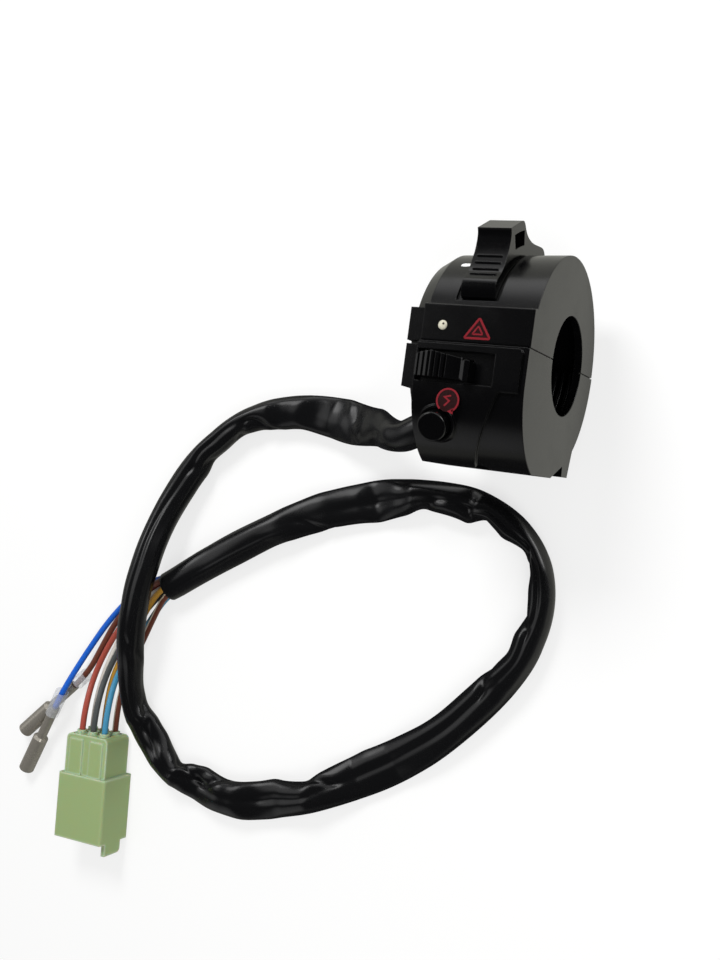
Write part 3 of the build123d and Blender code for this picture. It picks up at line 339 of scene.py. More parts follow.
# Height of the sleeve's folds in mm at a run in mm and an angle in degrees
def foldHeight(run, turn, s):
    height = 0.0
    onTop = within(s["creaseAngles"], turn)
    if onTop:
        following = sleeveCreases[1:] + [(s["creaseEnd"], 0, 0)]
        for (here, depth, lean), (after, _, _) in zip(sleeveCreases, following):
            if not here - s["creaseReach"] < run < after + s["creaseReach"]:
                continue
            start, gap = here + lean * (180 - turn) / s["creaseTurn"], after - here
            height -= depth * bell(run - start, s["creaseWidth"]) * onTop
            share = (run - start) / gap
            if 0 < share < 1:
                swell = s["swell"] * min(gap / s["swellGap"], 1)
                height += swell * (1 - (2 * share - 1) ** 2) * onTop
    sway = noise.noise(Vector((run * s["swayPace"], s["swayRow"], 0)))
    sway = s["troughAngle"] + s["troughSway"] * sway
    height -= s["troughDepth"] * within(s["troughRuns"], run) * bell(turn - sway, s["troughWidth"])
    for runs, angle, width, rise in sleeveRidges:
        height += rise * within(runs, run) * bell(turn - angle, width)
    low, high = s["wrinkleAngles"]
    if low < turn < high:
        away = run - s["wrinkleRun"] + (turn - low) / s["wrinkleLean"]
        height += s["wrinkleHeight"] * bell(away, s["wrinkleWidth"])
    rim, sharp, rimPlace = s["dentRim"]
    for place, angle, reach, depth in sleeveDents:
        if abs(run - place) < s["dentEnd"] * reach:
            far = math.hypot((run - place) / reach, (turn - angle) * s["dentAngle"] / reach)
            height -= depth * (math.exp(-far * far) - rim * math.exp(-sharp * (far - rimPlace) ** 2))
    return height


# Flattened ring that lies on the table, with creases, swells and dents in its upper side
def sleeveSection(distance, angle):
    s, folds = sleeveSettings, foldSettings
    run = distance * 1000
    radius = sleeveRadius * 1000
    inner, outer = softEdge(run, 1), softEdge(run, 2)
    half, middle = (inner + outer) / 2, (outer - inner) / 2
    flat = smoothStep(*s["flatFrom"], run) * (1 - s["roundShare"] * smoothStep(*s["roundFrom"], run))
    tall = math.sqrt(max(2 * radius * radius - half * half, s["lowest"] ** 2))
    tall = radius + (min(tall, s["highest"]) - radius) * flat
    turn = math.degrees(angle) % 360
    fold = foldHeight(run, turn, folds) if turn < folds["lastAngle"] else 0
    pace = folds["crumpleAround"]
    around = Vector((math.cos(angle) * pace, math.sin(angle) * pace, run * folds["crumpleAlong"]))
    rise = flat * (fold + folds["crumple"] * noise.noise(around))
    across = middle + (half + rise) * math.cos(angle)
    lift = (tall + rise) * math.sin(angle) - (radius - tall)
    return across / 1000, max(lift, -radius) / 1000


sleeveLine = linePoints("sleeveLine", sleeveRoute, sleeveSettings["resolution"])
sleevePath, sleeveLength = evenPoints(sleeveLine, sleeveSettings["rings"])
mouthAhead = (sleevePath[-1] - sleevePath[-2]).normalized()
mouthSteps = round(sleeveSettings["mouth"] / sleeveSettings["rings"])
mouthPath = [sleevePath[-1] + mouthAhead * sleeveSettings["rings"] * (k + 1) for k in range(mouthSteps)]
sleeve = tubeMesh(
    "harnessSleeve",
    sleevePath + mouthPath,
    sleeveSettings["sides"],
    sleeveSection,
    (sleeveSettings["mouthDepth"], sleeveSettings["mouthShare"]),
)
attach(sleeve, "housing")
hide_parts("harness_sleeve")
print("sleeve made, length", round(sleeveLength, 4))

connectorSettings = {
    "origin": (-0.1470, -0.1528, tableZ),
    "yaw": 3.5,
    "middle": 0.0080,
    "pinOffset": 0.0054,
    "rowOffset": 0.0031,
    "stub": 0.0080,
    # Column and row of each wire's place
    "entries": {
        "red": (-1, 1),
        "white": (-1, -1),
        "grey": (0, 1),
        "orange": (0, -1),
        "light_blue": (1, 1),
        "brown_striped": (1, -1),
    },
}
bulletSettings = {
    "starts": {"blue": (-0.1706, -0.1479, -0.0210), "brown": (-0.1655, -0.1385, bulletRest)},
    "tips": {"blue": (-0.1847, -0.1765, bulletRest), "brown": (-0.1877, -0.1615, bulletRest)},
    "stub": 0.008,
}
wireSettings = {
    "sides": 16,
    "rings": 0.0012,
    "resolution": 16,
    "circle": 0.0032,  # radius of the ring of wires in the sleeve's end, round the white one
    "stub": 0.006,
    "angles": {
        "blue": 0.0,
        "brown": 51.4,
        "red": -51.4,
        "grey": -102.9,
        "orange": 102.9,
        "light_blue": -154.3,
        "brown_striped": 154.3,
    },
    "middles": {
        "blue": [(-0.1383, -0.0927, -0.0269), (-0.1528, -0.1080, wireRest), (-0.1626, -0.1260, -0.0252)],
        "brown": [(-0.1370, -0.0945, -0.0246), (-0.1507, -0.1096, wireRest), (-0.1560, -0.1215, -0.0268)],
        "red": [(-0.1361, -0.0959, wireRest), (-0.1486, -0.1112, wireRest), (-0.1564, -0.1300, -0.0254)],
        "white": [(-0.1350, -0.0975, -0.0247), (-0.1465, -0.1127, wireRest), (-0.1536, -0.1315, wireRest)],
        "grey": [(-0.1341, -0.0989, wireRest), (-0.1445, -0.1143, wireRest), (-0.1510, -0.1310, -0.0250)],
        "orange": [(-0.1333, -0.1000, -0.0236), (-0.1424, -0.1158, wireRest), (-0.1492, -0.1310, wireRest)],
        "light_blue": [(-0.1320, -0.1020, wireRest), (-0.1403, -0.1174, wireRest), (-0.1464, -0.1310, -0.0254)],
        "brown_striped": [
            (-0.1310, -0.1035, -0.0246),
            (-0.1382, -0.1190, wireRest),
            (-0.1436, -0.1310, wireRest),
        ],
    },
}
sleeveEnd = Vector(sleeveRoute[-1])
sleeveHeading = (sleeveEnd - Vector(sleeveRoute[-2])).normalized()
sleeveSide = Vector((sleeveHeading.y, -sleeveHeading.x, 0))
connectorTurn = Matrix.Rotation(math.radians(connectorSettings["yaw"]), 4, "Z")
connectorFrame = Matrix.Translation(connectorSettings["origin"]) @ connectorTurn


# A wire's route, from the sleeve's end to its terminal or connector entry
def wireRoute(name, s):
    place = sleeveEnd.copy()
    if name in s["angles"]:
        angle = math.radians(s["angles"][name])
        place += sleeveSide * (s["circle"] * math.cos(angle)) + Vector((0, 0, s["circle"] * math.sin(angle)))
    route = [place, place + sleeveHeading * s["stub"]]
    route += [Vector(point) for point in s["middles"][name]]
    if name in bulletSettings["starts"]:
        end = Vector(bulletSettings["starts"][name])
        heading = (Vector(bulletSettings["tips"][name]) - end).normalized()
        route += [end - heading * bulletSettings["stub"], end]
    else:
        column, row = connectorSettings["entries"][name]
        x = column * connectorSettings["pinOffset"]
        z = connectorSettings["middle"] + row * connectorSettings["rowOffset"]
        route += [connectorFrame @ Vector((x, y, z)) for y in (connectorSettings["stub"], 0)]
    return [tuple(point) for point in route]


def wireSection(run, angle):
    return wireRadius * math.cos(angle), wireRadius * math.sin(angle)


wireObjects = {}
for name in wireSettings["middles"]:
    route = wireRoute(name, wireSettings)
    line = linePoints("wireLine", route, wireSettings["resolution"])
    path, length = evenPoints(line, wireSettings["rings"])
    wire = tubeMesh("wire." + name, path, wireSettings["sides"], wireSection)
    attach(wire, "housing")
    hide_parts("wire_" + name)
    wireObjects[name] = wire
    print("wire", name, "length", round(length, 4))

springSettings = {
    "base": (-0.001, -0.01952, 0.02549),
    "axis": (0, -0.34202, 0.93969),
    "length": 0.00495,
    "radius": 0.0034,
    "wire": 0.0003,
    "turns": 4,
    "steps": 40,  # for each turn
    "sides": 10,
}


# Round wire wound about the starter button's axis
def starterSpring(s):
    axis = Vector(s["axis"]).normalized()
    first = Vector((1, 0, 0))
    second = axis.cross(first)
    bm = bmesh.new()
    steps = s["steps"] * s["turns"]
    rings = []
    for k in range(steps + 1):
        turn = 2 * math.pi * s["turns"] * k / steps
        height = s["wire"] + (s["length"] - 2 * s["wire"]) * k / steps
        outward = first * math.cos(turn) + second * math.sin(turn)
        centre = Vector(s["base"]) + outward * s["radius"] + axis * height
        angles = [2 * math.pi * n / s["sides"] for n in range(s["sides"])]
        rings.append(
            [bm.verts.new(centre + (outward * math.cos(a) + axis * math.sin(a)) * s["wire"]) for a in angles]
        )
    for before, after in zip(rings, rings[1:]):
        bridge(bm, before, after)
    bm.faces.new(list(reversed(rings[0])))
    bm.faces.new(rings[-1])
    return newObject("starterSpring", bm)


spring = starterSpring(springSettings)
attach(spring, "housing")
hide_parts("starter_spring")
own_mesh(spring)
print("spring made")

signSettings = {
    "raise": 0.00004,
    "thick": 0.0001,
    "under": 0.00002,  # how far a dark ground lies under its lines
    "bandTop": 0.0356,
    "panelTop": 0.0373,
    "triangle": [(0.00415, 0.0015), (0.01175, 0.0016), (0.0081, 0.0072)],
    "triangleWidth": 0.00062,
    "triangleRound": 0.0006,
    "innerShare": 0.40,
    "innerWidth": 0.00045,
    "innerRound": 0.0003,
    "ring": (0.0025, -0.0163),
    "ringRadius": 0.0032,
    "ringWidth": 0.00052,
    "ringTurn": (-62, 292),  # where the arrow's arc starts and how far it goes
    "ringSteps": 48,
    "fillSteps": 32,
    "head": [(-0.0013, -0.0002), (0.0004, 0.0008), (0.0005, -0.0009)],
    "bolt": [(0.0009, 0.0014), (-0.0010, 0.0009), (0.0005, -0.0001), (-0.0009, -0.0016)],
    "boltWidth": 0.0005,
    "dot": (-0.0027, 0.0047),
    "dotRadius": 0.0014,
    "dotHeight": 0.0007,
    "dotSink": 0.0001,
    # The bead's hole is drawn as a dark disc, painted shade standing in for the hole
    "hole": (0.0004, 0.0003),  # from the dot's middle
    "holeRadius": 0.0003,
    "holeHeight": 0.00060,
    "holeSteps": 16,
    "markX": (-0.0049, -0.0019),
    "markAngle": 37.5,
    "markHalf": 1.8,
    "markRaise": 0.00005,
    "markRound": (0.5, 0.7),
    "markPoints": 28,
    # The round body: radius at the grip face, that face's x, and how much the radius falls over which length
    "bodyRadius": 0.0316,
    "bodyFace": 0.0237,
    "bodyTaper": (0.001, 0.0326),
}


# Points on a circle in the XY plane, with both ends where it is an open arc
def arcPoints(centre, radius, steps, start=0, sweep=360):
    count = steps if sweep == 360 else steps + 1
    angles = [math.radians(start + sweep * k / steps) for k in range(count)]
    return [(centre[0] + radius * math.cos(a), centre[1] + radius * math.sin(a)) for a in angles]


# A thin raised band along points in the XY plane, mitred at its corners down to the least share sharpest
def ribbon(name, points, width, level, closed, thick=signSettings["thick"], sharpest=0.45):
    bm = bmesh.new()
    count = len(points)
    rows = []
    for k, point in enumerate(points):
        here = Vector(point)
        before = Vector(points[k - 1]) if closed or k else here
        after = Vector(points[(k + 1) % count]) if closed or k < count - 1 else here
        ins, outs = (here - before), (after - here)
        ins = ins.normalized() if ins.length else outs.normalized()
        outs = outs.normalized() if outs.length else ins
        middle = (ins + outs).normalized()
        side = Vector((-middle.y, middle.x))
        reach = width / 2 / max(side.dot(Vector((-ins.y, ins.x))), sharpest)
        left, right = here + side * reach, here - side * reach
        corners = ((left, level - thick), (left, level), (right, level), (right, level - thick))
        rows.append([bm.verts.new((corner.x, corner.y, z)) for corner, z in corners])
    for before, after in zip(rows, rows[1:] + rows[:1] if closed else rows[1:]):
        bridge(bm, before, after)
    if not closed:
        bm.faces.new(list(reversed(rows[0])))
        bm.faces.new(rows[-1])
    return newObject(name, bm, False)


# A thin filled shape in the XY plane
def slab(name, outline, level, thick=signSettings["thick"]):
    bm = bmesh.new()
    top = [bm.verts.new((x, y, level)) for x, y in outline]
    low = [bm.verts.new((x, y, level - thick)) for x, y in outline]
    bm.faces.new(top)
    bm.faces.new(list(reversed(low)))
    bridge(bm, low, top)
    return newObject(name, bm, False)


# A closed outline with each corner cut to a small arc
def roundedCorners(corners, radius, steps=6):
    outline = []
    for k, corner in enumerate(corners):
        here = Vector(corner)
        before = (Vector(corners[k - 1]) - here).normalized()
        after = (Vector(corners[(k + 1) % len(corners)]) - here).normalized()
        start, end = here + before * radius, here + after * radius
        for n in range(steps + 1):
            share = n / steps
            outline.append(tuple(start.lerp(here, share).lerp(here.lerp(end, share), share)))
    return outline


# A low lens-shaped bead
def dome(name, centre, radius, level, height, steps=7, sides=32):
    bm = bmesh.new()
    rings = []
    for k in range(steps):
        angle = math.pi / 2 * k / steps
        circle = arcPoints(centre, radius * math.cos(angle), sides)
        rings.append([bm.verts.new((x, y, level + height * math.sin(angle))) for x, y in circle])
    for before, after in zip(rings, rings[1:]):
        bridge(bm, before, after)
    tip = bm.verts.new((*centre, level + height))
    for n in range(sides):
        bm.faces.new((rings[-1][n], rings[-1][(n + 1) % sides], tip))
    bm.faces.new(list(reversed(rings[0])))
    return newObject(name, bm)


# A painted bar on the round body, with rounded ends
def curvedMark(name, s):
    bm = bmesh.new()
    top, low = [], []
    left, right = s["markX"]
    alongRound, aroundRound = s["markRound"]
    fall, taperLength = s["bodyTaper"]
    for n in range(s["markPoints"]):
        turn = 2 * math.pi * n / s["markPoints"]
        cosine, sine = math.cos(turn), math.sin(turn)
        x = (left + right) / 2 + (right - left) / 2 * math.copysign(abs(cosine) ** alongRound, cosine)
        theta = math.radians(s["markAngle"] + s["markHalf"] * math.copysign(abs(sine) ** aroundRound, sine))
        radius = s["bodyRadius"] - fall * (s["bodyFace"] - x) / taperLength
        for ring, lift in ((top, s["markRaise"]), (low, -s["thick"])):
            far = radius + lift
            ring.append(bm.verts.new((x, far * math.cos(theta), barAxisZ + far * math.sin(theta))))
    bm.faces.new(top)
    bm.faces.new(list(reversed(low)))
    bridge(bm, low, top)
    return newObject(name, bm, False)


# Hazard triangle, starter sign, a pale bead with a dark disc of painted shade for its hole, and a white bar
def makeSigns(s):
    level = s["bandTop"] + s["raise"]
    centre = sum((Vector(corner) for corner in s["triangle"]), Vector((0, 0))) / 3
    inner = [tuple(centre + (Vector(corner) - centre) * s["innerShare"]) for corner in s["triangle"]]
    outline = roundedCorners(s["triangle"], s["triangleRound"])
    inline = roundedCorners(inner, s["innerRound"])
    pieces = [
        slab("signTriangleFill", outline, level - s["under"]),
        ribbon("signTriangle", outline, s["triangleWidth"], level, True),
        ribbon("signTriangleInner", inline, s["innerWidth"], level, True),
    ]
    level = s["panelTop"] + s["raise"]
    x, y = s["ring"]
    arc = arcPoints(s["ring"], s["ringRadius"], s["ringSteps"], *s["ringTurn"])
    ground = arcPoints(s["ring"], s["ringRadius"], s["fillSteps"])
    tipX, tipY = arc[0]
    pieces += [
        ribbon("signRing", arc, s["ringWidth"], level, False),
        slab("signRingHead", [(tipX + dx, tipY + dy) for dx, dy in s["head"]], level),
        slab("signRingFill", ground, level - s["under"]),
        ribbon("signBolt", [(x + dx, y + dy) for dx, dy in s["bolt"]], s["boltWidth"], level, False),
    ]
    # Painted shade: a dark disc on the bead stands in for the shade in its hole
    holeCentre = (s["dot"][0] + s["hole"][0], s["dot"][1] + s["hole"][1])
    hole = arcPoints(holeCentre, s["holeRadius"], s["holeSteps"])
    pieces += [
        dome("signDot", s["dot"], s["dotRadius"], s["bandTop"] - s["dotSink"], s["dotHeight"]),
        slab("signDotHole", hole, s["bandTop"] + s["holeHeight"]),
        curvedMark("signMark", s),
    ]
    for piece in pieces:
        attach(piece, "housing")
    return {piece.name: piece for piece in pieces}


signs = makeSigns(signSettings)
print("signs made")


# A shader node with its settings and input values
def addNode(tree, kind, place=(0, 0), values=None, **settings):
    item = tree.nodes.new(kind)
    item.location = place
    for key, value in settings.items():
        setattr(item, key, value)
    for key, value in (values or {}).items():
        item.inputs[key].default_value = value
    return item


# A smooth rise from 0 to top between two values
def addRise(tree, place, low, high, top=1.0):
    values = {"From Min": low, "From Max": high, "To Max": top}
    return addNode(tree, "ShaderNodeMapRange", place, values, interpolation_type="SMOOTHSTEP")


# Moulded plastic: softened edges, fine grain and a mask of faint rubbed marks
def mouldedGroup():
    tree = bpy.data.node_groups.new("mouldedSurface", "ShaderNodeTree")
    for name in ("edge", "grainScale", "grainDepth"):
        tree.interface.new_socket(name=name, in_out="INPUT", socket_type="NodeSocketFloat")
    tree.interface.new_socket(name="normal", in_out="OUTPUT", socket_type="NodeSocketVector")
    tree.interface.new_socket(name="rubbed", in_out="OUTPUT", socket_type="NodeSocketFloat")
    link = tree.links.new
    into = addNode(tree, "NodeGroupInput", (-900, 0))
    out = addNode(tree, "NodeGroupOutput", (500, 0))
    place = addNode(tree, "ShaderNodeTexCoord", (-900, -300))
    edge = addNode(tree, "ShaderNodeBevel", (-600, 200), samples=6)
    grain = addNode(tree, "ShaderNodeTexNoise", (-600, -100), {"Detail": 3.0, "Roughness": 0.6})
    bump = addNode(tree, "ShaderNodeBump", (-200, 100), {"Strength": 1.0})
    blotchValues = {"Scale": 90.0, "Detail": 5.0, "Roughness": 0.7}
    blotch = addNode(tree, "ShaderNodeTexNoise", (-600, -350), blotchValues)
    rise = addRise(tree, (-200, -300), 0.45, 0.75)
    link(into.outputs["edge"], edge.inputs["Radius"])
    link(place.outputs["Object"], grain.inputs["Vector"])
    link(into.outputs["grainScale"], grain.inputs["Scale"])
    link(into.outputs["grainDepth"], bump.inputs["Distance"])
    link(grain.outputs["Fac"], bump.inputs["Height"])
    link(edge.outputs["Normal"], bump.inputs["Normal"])
    link(bump.outputs["Normal"], out.inputs["normal"])
    link(place.outputs["Object"], blotch.inputs["Vector"])
    link(blotch.outputs["Fac"], rise.inputs["Value"])
    link(rise.outputs["Result"], out.inputs["rubbed"])
    return tree


moulded = mouldedGroup()


# A material on the moulded surface group, whose roughness goes up to worn where it is rubbed
def surface(name, color, rough, worn, edge=0.0003, grainScale=2500.0, grainDepth=0.00002, **extra):
    material = bpy.data.materials.new(name)
    material.use_nodes = True
    tree = material.node_tree
    shader = tree.nodes["Principled BSDF"]
    shader.inputs["Base Color"].default_value = (*color, 1)
    for key, value in extra.items():
        shader.inputs[key.replace("_", " ")].default_value = value
    values = {"edge": edge, "grainScale": grainScale, "grainDepth": grainDepth}
    group = addNode(tree, "ShaderNodeGroup", (-600, 0), node_tree=moulded)
    for key, value in values.items():
        group.inputs[key].default_value = value
    spread = addNode(tree, "ShaderNodeMapRange", (-300, -100), {"To Min": rough, "To Max": worn})
    tree.links.new(group.outputs["rubbed"], spread.inputs["Value"])
    tree.links.new(spread.outputs["Result"], shader.inputs["Roughness"])
    tree.links.new(group.outputs["normal"], shader.inputs["Normal"])
    return material


def setMaterial(piece, material):
    piece.data.materials.clear()
    piece.data.materials.append(material)


# Edge softening, grain scale and grain depth
blackFinish = (0.0004, 2600.0, 0.000006)
knobFinish = (0.0003, 2600.0, 0.000004)
metalFinish = (0.0001, 3000.0, 0.000004)
steelFinish = (0.0002, 3000.0, 0.000004)
springFinish = (0.0001, 3000.0, 0.000002)
brassFinish = (0.0002, 1500.0, 0.00002)
clearFinish = (0.0001, 420.0, 0.00025)
nylonFinish = (0.0006, 900.0, 0.00002)
wireFinish = (0.0001, 900.0, 0.00001)
thinSkin = {"Subsurface_Weight": 0.35, "Subsurface_Scale": 0.002}
materials = {
    "housing_plastic": surface("housingBlack", (0.0016, 0.0016, 0.0018), 0.20, 0.27, *blackFinish),
    "knob_plastic": surface("knobBlack", (0.0014, 0.0014, 0.0016), 0.16, 0.24, *knobFinish),
    "carrier_plastic": surface("carrierPlastic", (0.5, 0.48, 0.42), 0.5, 0.6),
    "board_laminate": surface("boardLaminate", (0.28, 0.15, 0.06), 0.5, 0.65, 0.0001, 900.0),
    "contact_metal": surface("contactBrass", (0.75, 0.55, 0.25), 0.25, 0.4, *metalFinish, Metallic=1.0),
    "plated_steel": surface("platedSteel", (0.62, 0.62, 0.63), 0.28, 0.42, *steelFinish, Metallic=1.0),
    "spring_steel": surface("springSteel", (0.42, 0.42, 0.43), 0.25, 0.35, *springFinish, Metallic=1.0),
    "plated_brass": surface("platedBrass", (0.36, 0.335, 0.29), 0.22, 0.36, *brassFinish, Metallic=0.55),
    "grommet_rubber": surface("grommetRubber", (0.008, 0.008, 0.008), 0.55, 0.7),
    "sleeve_vinyl": surface("sleeveVinyl", (0.0042, 0.0043, 0.0047), 0.23, 0.31, 0.0001, 300.0),
    "clear_vinyl": surface("clearVinyl", (0.72, 0.74, 0.78), 0.05, 0.12, *clearFinish, IOR=1.6, Alpha=0.2),
    "connector_nylon": surface("connectorNylon", (0.30, 0.40, 0.185), 0.30, 0.42, *nylonFinish, **thinSkin),
    "wire_blue": surface("wireBlue", (0.006, 0.10, 0.52), 0.3, 0.4, *wireFinish),
}
wireColors = {
    "wire_brown": ("wireBrown", (0.12, 0.035, 0.02)),
    "wire_red": ("wireRed", (0.32, 0.06, 0.04)),
    "wire_white": ("wireWhite", (0.6, 0.57, 0.52)),
    "wire_grey": ("wireGrey", (0.06, 0.065, 0.065)),
    "wire_light_blue": ("wireLightBlue", (0.05, 0.23, 0.38)),
    "wire_orange": ("wireOrange", (0.44, 0.23, 0.03)),
}
for slot, (name, color) in wireColors.items():
    materials[slot] = surface(name, color, 0.32, 0.42, *wireFinish)

slots = {row["node"]: row["material_slot"] for row in frame["record"]["subparts"]}
for name, node in nodes.items():
    setMaterial(node, materials[slots[name]])
setMaterial(sleeve, materials["sleeve_vinyl"])
for name, wire in wireObjects.items():
    setMaterial(wire, materials["wire_brown" if name == "brown_striped" else "wire_" + name])
setMaterial(spring, materials["spring_steel"])

# Painted light on the connector: edge is the painted paler tone along its edges, flat is the plastic's own tone
connectorPaintedGlow = {
    "reach": 0.0016,
    "edge": (0.42, 0.53, 0.36),
    "flat": (0.29, 0.38, 0.17),
    "turn": 0.86,  # how alike the softened and the plain normal are where the edge's tone begins
}


# Painted light: the plastic's edges are painted paler than its flat faces, standing in for light shining
# through the thin translucent plastic there
def paintedGlowEdges(material, s):
    tree = material.node_tree
    edge = addNode(tree, "ShaderNodeBevel", (-900, 500), {"Radius": s["reach"]}, samples=8)
    plain = addNode(tree, "ShaderNodeNewGeometry", (-900, 300))
    dot = addNode(tree, "ShaderNodeVectorMath", (-700, 400), operation="DOT_PRODUCT")
    tree.links.new(edge.outputs["Normal"], dot.inputs[0])
    tree.links.new(plain.outputs["Normal"], dot.inputs[1])
    tone = addNode(tree, "ShaderNodeValToRGB", (-500, 400))
    start, end = tone.color_ramp.elements
    start.position = s["turn"]
    start.color = (*s["edge"], 1)
    end.color = (*s["flat"], 1)
    tree.links.new(dot.outputs["Value"], tone.inputs["Fac"])
    tree.links.new(tone.outputs["Color"], tree.nodes["Principled BSDF"].inputs["Base Color"])


paintedGlowEdges(materials["connector_nylon"], connectorPaintedGlow)

printFinish = (0.00005, 900.0, 0.000004)
beadFinish = (0.0001, 900.0, 0.000004)
signRed = surface("signRed", (0.17, 0.008, 0.014), 0.35, 0.5, *printFinish)
signDark = surface("signDark", (0.012, 0.0004, 0.0008), 0.35, 0.5, *printFinish)
signPale = surface("signPale", (0.52, 0.50, 0.40), 0.25, 0.4, *beadFinish)
signWhite = surface("signWhite", (0.85, 0.85, 0.85), 0.4, 0.5, *printFinish)
signMaterials = {
    "signTriangleFill": signDark,
    "signRingFill": signDark,
    # The dark disc on the bead is painted shade for its hole
    "signDotHole": signDark,
    "signDot": signPale,
    "signMark": signWhite,
}
for name, piece in signs.items():
    setMaterial(piece, signMaterials.get(name, signRed))

stripeSettings = {
    "base": (0.12, 0.035, 0.02, 1),
    "stripe": (0.55, 0.5, 0.4, 1),
    "middle": 0.17,  # shares of a turn
    "half": 0.07,
}


# Brown insulation with a pale stripe along it
def stripeWire(piece, s):
    material = materials["wire_brown"].copy()
    material.name = "wireStriped"
    tree = material.node_tree
    link = tree.links.new
    place = addNode(tree, "ShaderNodeUVMap", (-1200, 300), uv_map="along")
    split = addNode(tree, "ShaderNodeSeparateXYZ", (-1000, 300))
    away = addNode(tree, "ShaderNodeMath", (-800, 300), {1: s["middle"]}, operation="SUBTRACT")
    size = addNode(tree, "ShaderNodeMath", (-650, 300), operation="ABSOLUTE")
    inside = addNode(tree, "ShaderNodeMath", (-500, 300), {1: s["half"]}, operation="LESS_THAN")
    mix = addNode(tree, "ShaderNodeMix", (-250, 300), data_type="RGBA")
    colors = [socket for socket in mix.inputs if socket.type == "RGBA"]
    colors[0].default_value, colors[1].default_value = s["base"], s["stripe"]
    result = [socket for socket in mix.outputs if socket.type == "RGBA"][0]
    link(place.outputs["UV"], split.inputs[0])
    link(split.outputs["Y"], away.inputs[0])
    link(away.outputs[0], size.inputs[0])
    link(size.outputs[0], inside.inputs[0])
    link(inside.outputs[0], mix.inputs["Factor"])
    link(result, tree.nodes["Principled BSDF"].inputs["Base Color"])
    setMaterial(piece, material)


stripeWire(wireObjects["brown_striped"], stripeSettings)
print("materials set")

floorSettings = {
    "half": 3,
    "place": (-0.08, -0.08),
    "drop": 0.00005,
    "color": (0.86, 0.86, 0.85, 1),
    "glowShare": 0.72,  # how much of the floor's look is plain white, the rest keeps the shadow
    # Tones of the floor as the black plastic mirrors it
    "mirrorDark": (0.03, 0.03, 0.032, 1),
    "mirrorPale": (0.52, 0.52, 0.475, 1),
    "gripRise": (0.09, 0.112),
    "neckRise": (0.02, -0.04),
    "neckShare": 0.45,
    "backRise": (0.10, 0.125),
}
worldSettings = {
    "sky": 0.45,
    "ramp": [(0.0, (0.16, 0.16, 0.16, 1)), (0.25, (0.06, 0.06, 0.065, 1)), (0.55, (0.010, 0.010, 0.011, 1))],
    # Soft boxes that only reflections see: the way to each, where it starts and is full, and its brightness
    "boxes": {
        "edgeStrip": ((0.73, 0.66, 0.08), 0.93, 0.985, 4.0),
        "farWall": ((-0.37, 0.93, -0.05), 0.86, 0.99, 0.8),
        "farLamp": ((-0.66, 0.52, 0.54), 0.96, 0.985, 3.0),
        "leftGlow": ((-0.76, 0.16, 0.63), 0.88, 0.99, 0.75),
        "backGlow": ((0.30, 0.93, 0.20), 0.55, 0.95, 0.9),
        "sideGlow": ((-0.55, -0.80, 0.25), 0.90, 0.99, 0.35),
    },
}
lampSettings = {
    "aim": (-0.04, -0.04, 0),
    "lamps": {
        "keyLight": {"place": (-0.15, 0.35, 0.45), "size": 0.22, "power": 3.2},
        "fillLight": {"place": (0.30, -0.30, 0.50), "size": 0.35, "power": 1.6},
    },
}


# Pale floor that keeps the shadow and has a tone by place in reflections
def makeFloor(s):
    bm = bmesh.new()
    bmesh.ops.create_grid(bm, x_segments=1, y_segments=1, size=s["half"])
    floor = newObject("floor", bm, False, False)
    floor.location = (*s["place"], tableZ - s["drop"])
    material = bpy.data.materials.new("floorWhite")
    material.use_nodes = True
    tree = material.node_tree
    tree.nodes.clear()
    link = tree.links.new
    out = addNode(tree, "ShaderNodeOutputMaterial", (600, 0))
    path = addNode(tree, "ShaderNodeLightPath", (-300, 300))

    plain = addNode(tree, "ShaderNodeBsdfDiffuse", (0, 100), {"Color": s["color"]})
    glow = addNode(tree, "ShaderNodeEmission", (0, -100), {"Color": (1, 1, 1, 1), "Strength": 1.0})
    share = addNode(tree, "ShaderNodeMath", (0, 300), {1: s["glowShare"]}, operation="MULTIPLY")
    mix = addNode(tree, "ShaderNodeMixShader", (300, 0))
    link(path.outputs["Is Camera Ray"], share.inputs[0])
    link(share.outputs[0], mix.inputs["Fac"])
    link(plain.outputs[0], mix.inputs[1])
    link(glow.outputs[0], mix.inputs[2])

    place = addNode(tree, "ShaderNodeTexCoord", (-600, -300))
    split = addNode(tree, "ShaderNodeSeparateXYZ", (-400, -300))
    grip = addRise(tree, (-200, -300), *s["gripRise"])
    neck = addRise(tree, (-200, -600), *s["neckRise"], s["neckShare"])
    back = addRise(tree, (-200, -850), *s["backRise"])
    pair = addNode(tree, "ShaderNodeMath", (-100, -600), operation="MAXIMUM")
    most = addNode(tree, "ShaderNodeMath", (-50, -450), operation="MAXIMUM")
    tone = addNode(tree, "ShaderNodeValToRGB", (0, -300))
    dark, pale = tone.color_ramp.elements
    dark.color, pale.color = s["mirrorDark"], s["mirrorPale"]
    mirror = addNode(tree, "ShaderNodeEmission", (300, -250), {"Strength": 1.0})
    link(place.outputs["Object"], split.inputs[0])
    link(split.outputs["X"], grip.inputs["Value"])
    link(split.outputs["X"], neck.inputs["Value"])
    link(split.outputs["Y"], back.inputs["Value"])
    link(back.outputs["Result"], pair.inputs[0])
    link(neck.outputs["Result"], pair.inputs[1])
    link(grip.outputs["Result"], most.inputs[0])
    link(pair.outputs[0], most.inputs[1])
    link(most.outputs[0], tone.inputs["Fac"])
    link(tone.outputs["Color"], mirror.inputs["Color"])

    last = addNode(tree, "ShaderNodeMixShader", (500, -100))
    link(path.outputs["Is Glossy Ray"], last.inputs["Fac"])
    link(mix.outputs[0], last.inputs[1])
    link(mirror.outputs[0], last.inputs[2])
    link(last.outputs[0], out.inputs["Surface"])
    setMaterial(floor, material)


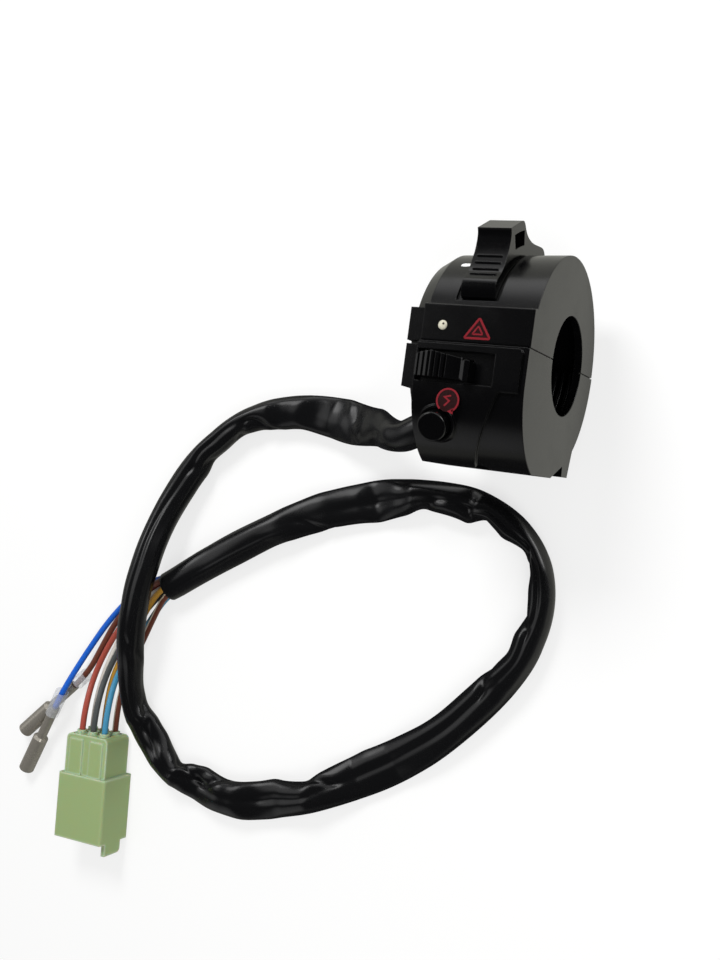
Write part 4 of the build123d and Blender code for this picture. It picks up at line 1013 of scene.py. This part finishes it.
# White to the camera, soft light on the object, and a studio with soft boxes in reflections
def makeWorld(s):
    world = bpy.data.worlds.new("studio")
    bpy.context.scene.world = world
    world.use_nodes = True
    tree = world.node_tree
    tree.nodes.clear()
    link = tree.links.new
    out = addNode(tree, "ShaderNodeOutputWorld", (900, 0))
    place = addNode(tree, "ShaderNodeTexCoord", (-900, 0))
    split = addNode(tree, "ShaderNodeSeparateXYZ", (-700, 0))
    ramp = addNode(tree, "ShaderNodeValToRGB", (-500, 0))
    stops = ramp.color_ramp.elements
    stops.new(s["ramp"][1][0])
    for stop, (position, color) in zip(stops, s["ramp"]):
        stop.position, stop.color = position, color
    link(place.outputs["Generated"], split.inputs[0])
    link(split.outputs["Z"], ramp.inputs["Fac"])
    total = ramp.outputs["Color"]
    for row, (toward, low, high, bright) in enumerate(s["boxes"].values()):
        y = -250 - 200 * row
        along = addNode(tree, "ShaderNodeVectorMath", (-700, y), operation="DOT_PRODUCT")
        along.inputs[1].default_value = Vector(toward).normalized()
        rise = addRise(tree, (-500, y), low, high, bright)
        both = addNode(tree, "ShaderNodeVectorMath", (-200, y), operation="ADD")
        link(place.outputs["Generated"], along.inputs[0])
        link(along.outputs["Value"], rise.inputs["Value"])
        link(total, both.inputs[0])
        link(rise.outputs["Result"], both.inputs[1])
        total = both.outputs["Vector"]

    seen = addNode(tree, "ShaderNodeBackground", (100, 0), {"Strength": 1.0})
    soft = addNode(tree, "ShaderNodeBackground", (100, -150), {"Color": (1, 1, 1, 1), "Strength": s["sky"]})
    white = addNode(tree, "ShaderNodeBackground", (100, 150), {"Color": (1, 1, 1, 1), "Strength": 1.0})
    path = addNode(tree, "ShaderNodeLightPath", (-200, 400))
    first = addNode(tree, "ShaderNodeMixShader", (350, -50))
    second = addNode(tree, "ShaderNodeMixShader", (600, 0))
    link(total, seen.inputs["Color"])
    link(path.outputs["Is Glossy Ray"], first.inputs["Fac"])
    link(soft.outputs[0], first.inputs[1])
    link(seen.outputs[0], first.inputs[2])
    link(path.outputs["Is Camera Ray"], second.inputs["Fac"])
    link(first.outputs[0], second.inputs[1])
    link(white.outputs[0], second.inputs[2])
    link(second.outputs[0], out.inputs["Surface"])


def makeLamps(s):
    for name, lamp in s["lamps"].items():
        data = bpy.data.lights.new(name, "AREA")
        data.shape = "DISK"
        data.size = lamp["size"]
        data.energy = lamp["power"]
        light = bpy.data.objects.new(name, data)
        light.visible_glossy = False
        light.location = lamp["place"]
        light.rotation_mode = "QUATERNION"
        light.rotation_quaternion = (Vector(s["aim"]) - light.location).to_track_quat("-Z", "Y")
        bpy.context.scene.collection.objects.link(light)


bpy.context.scene.view_settings.view_transform = "Standard"
makeFloor(floorSettings)
makeWorld(worldSettings)
makeLamps(lampSettings)
print("stage made")
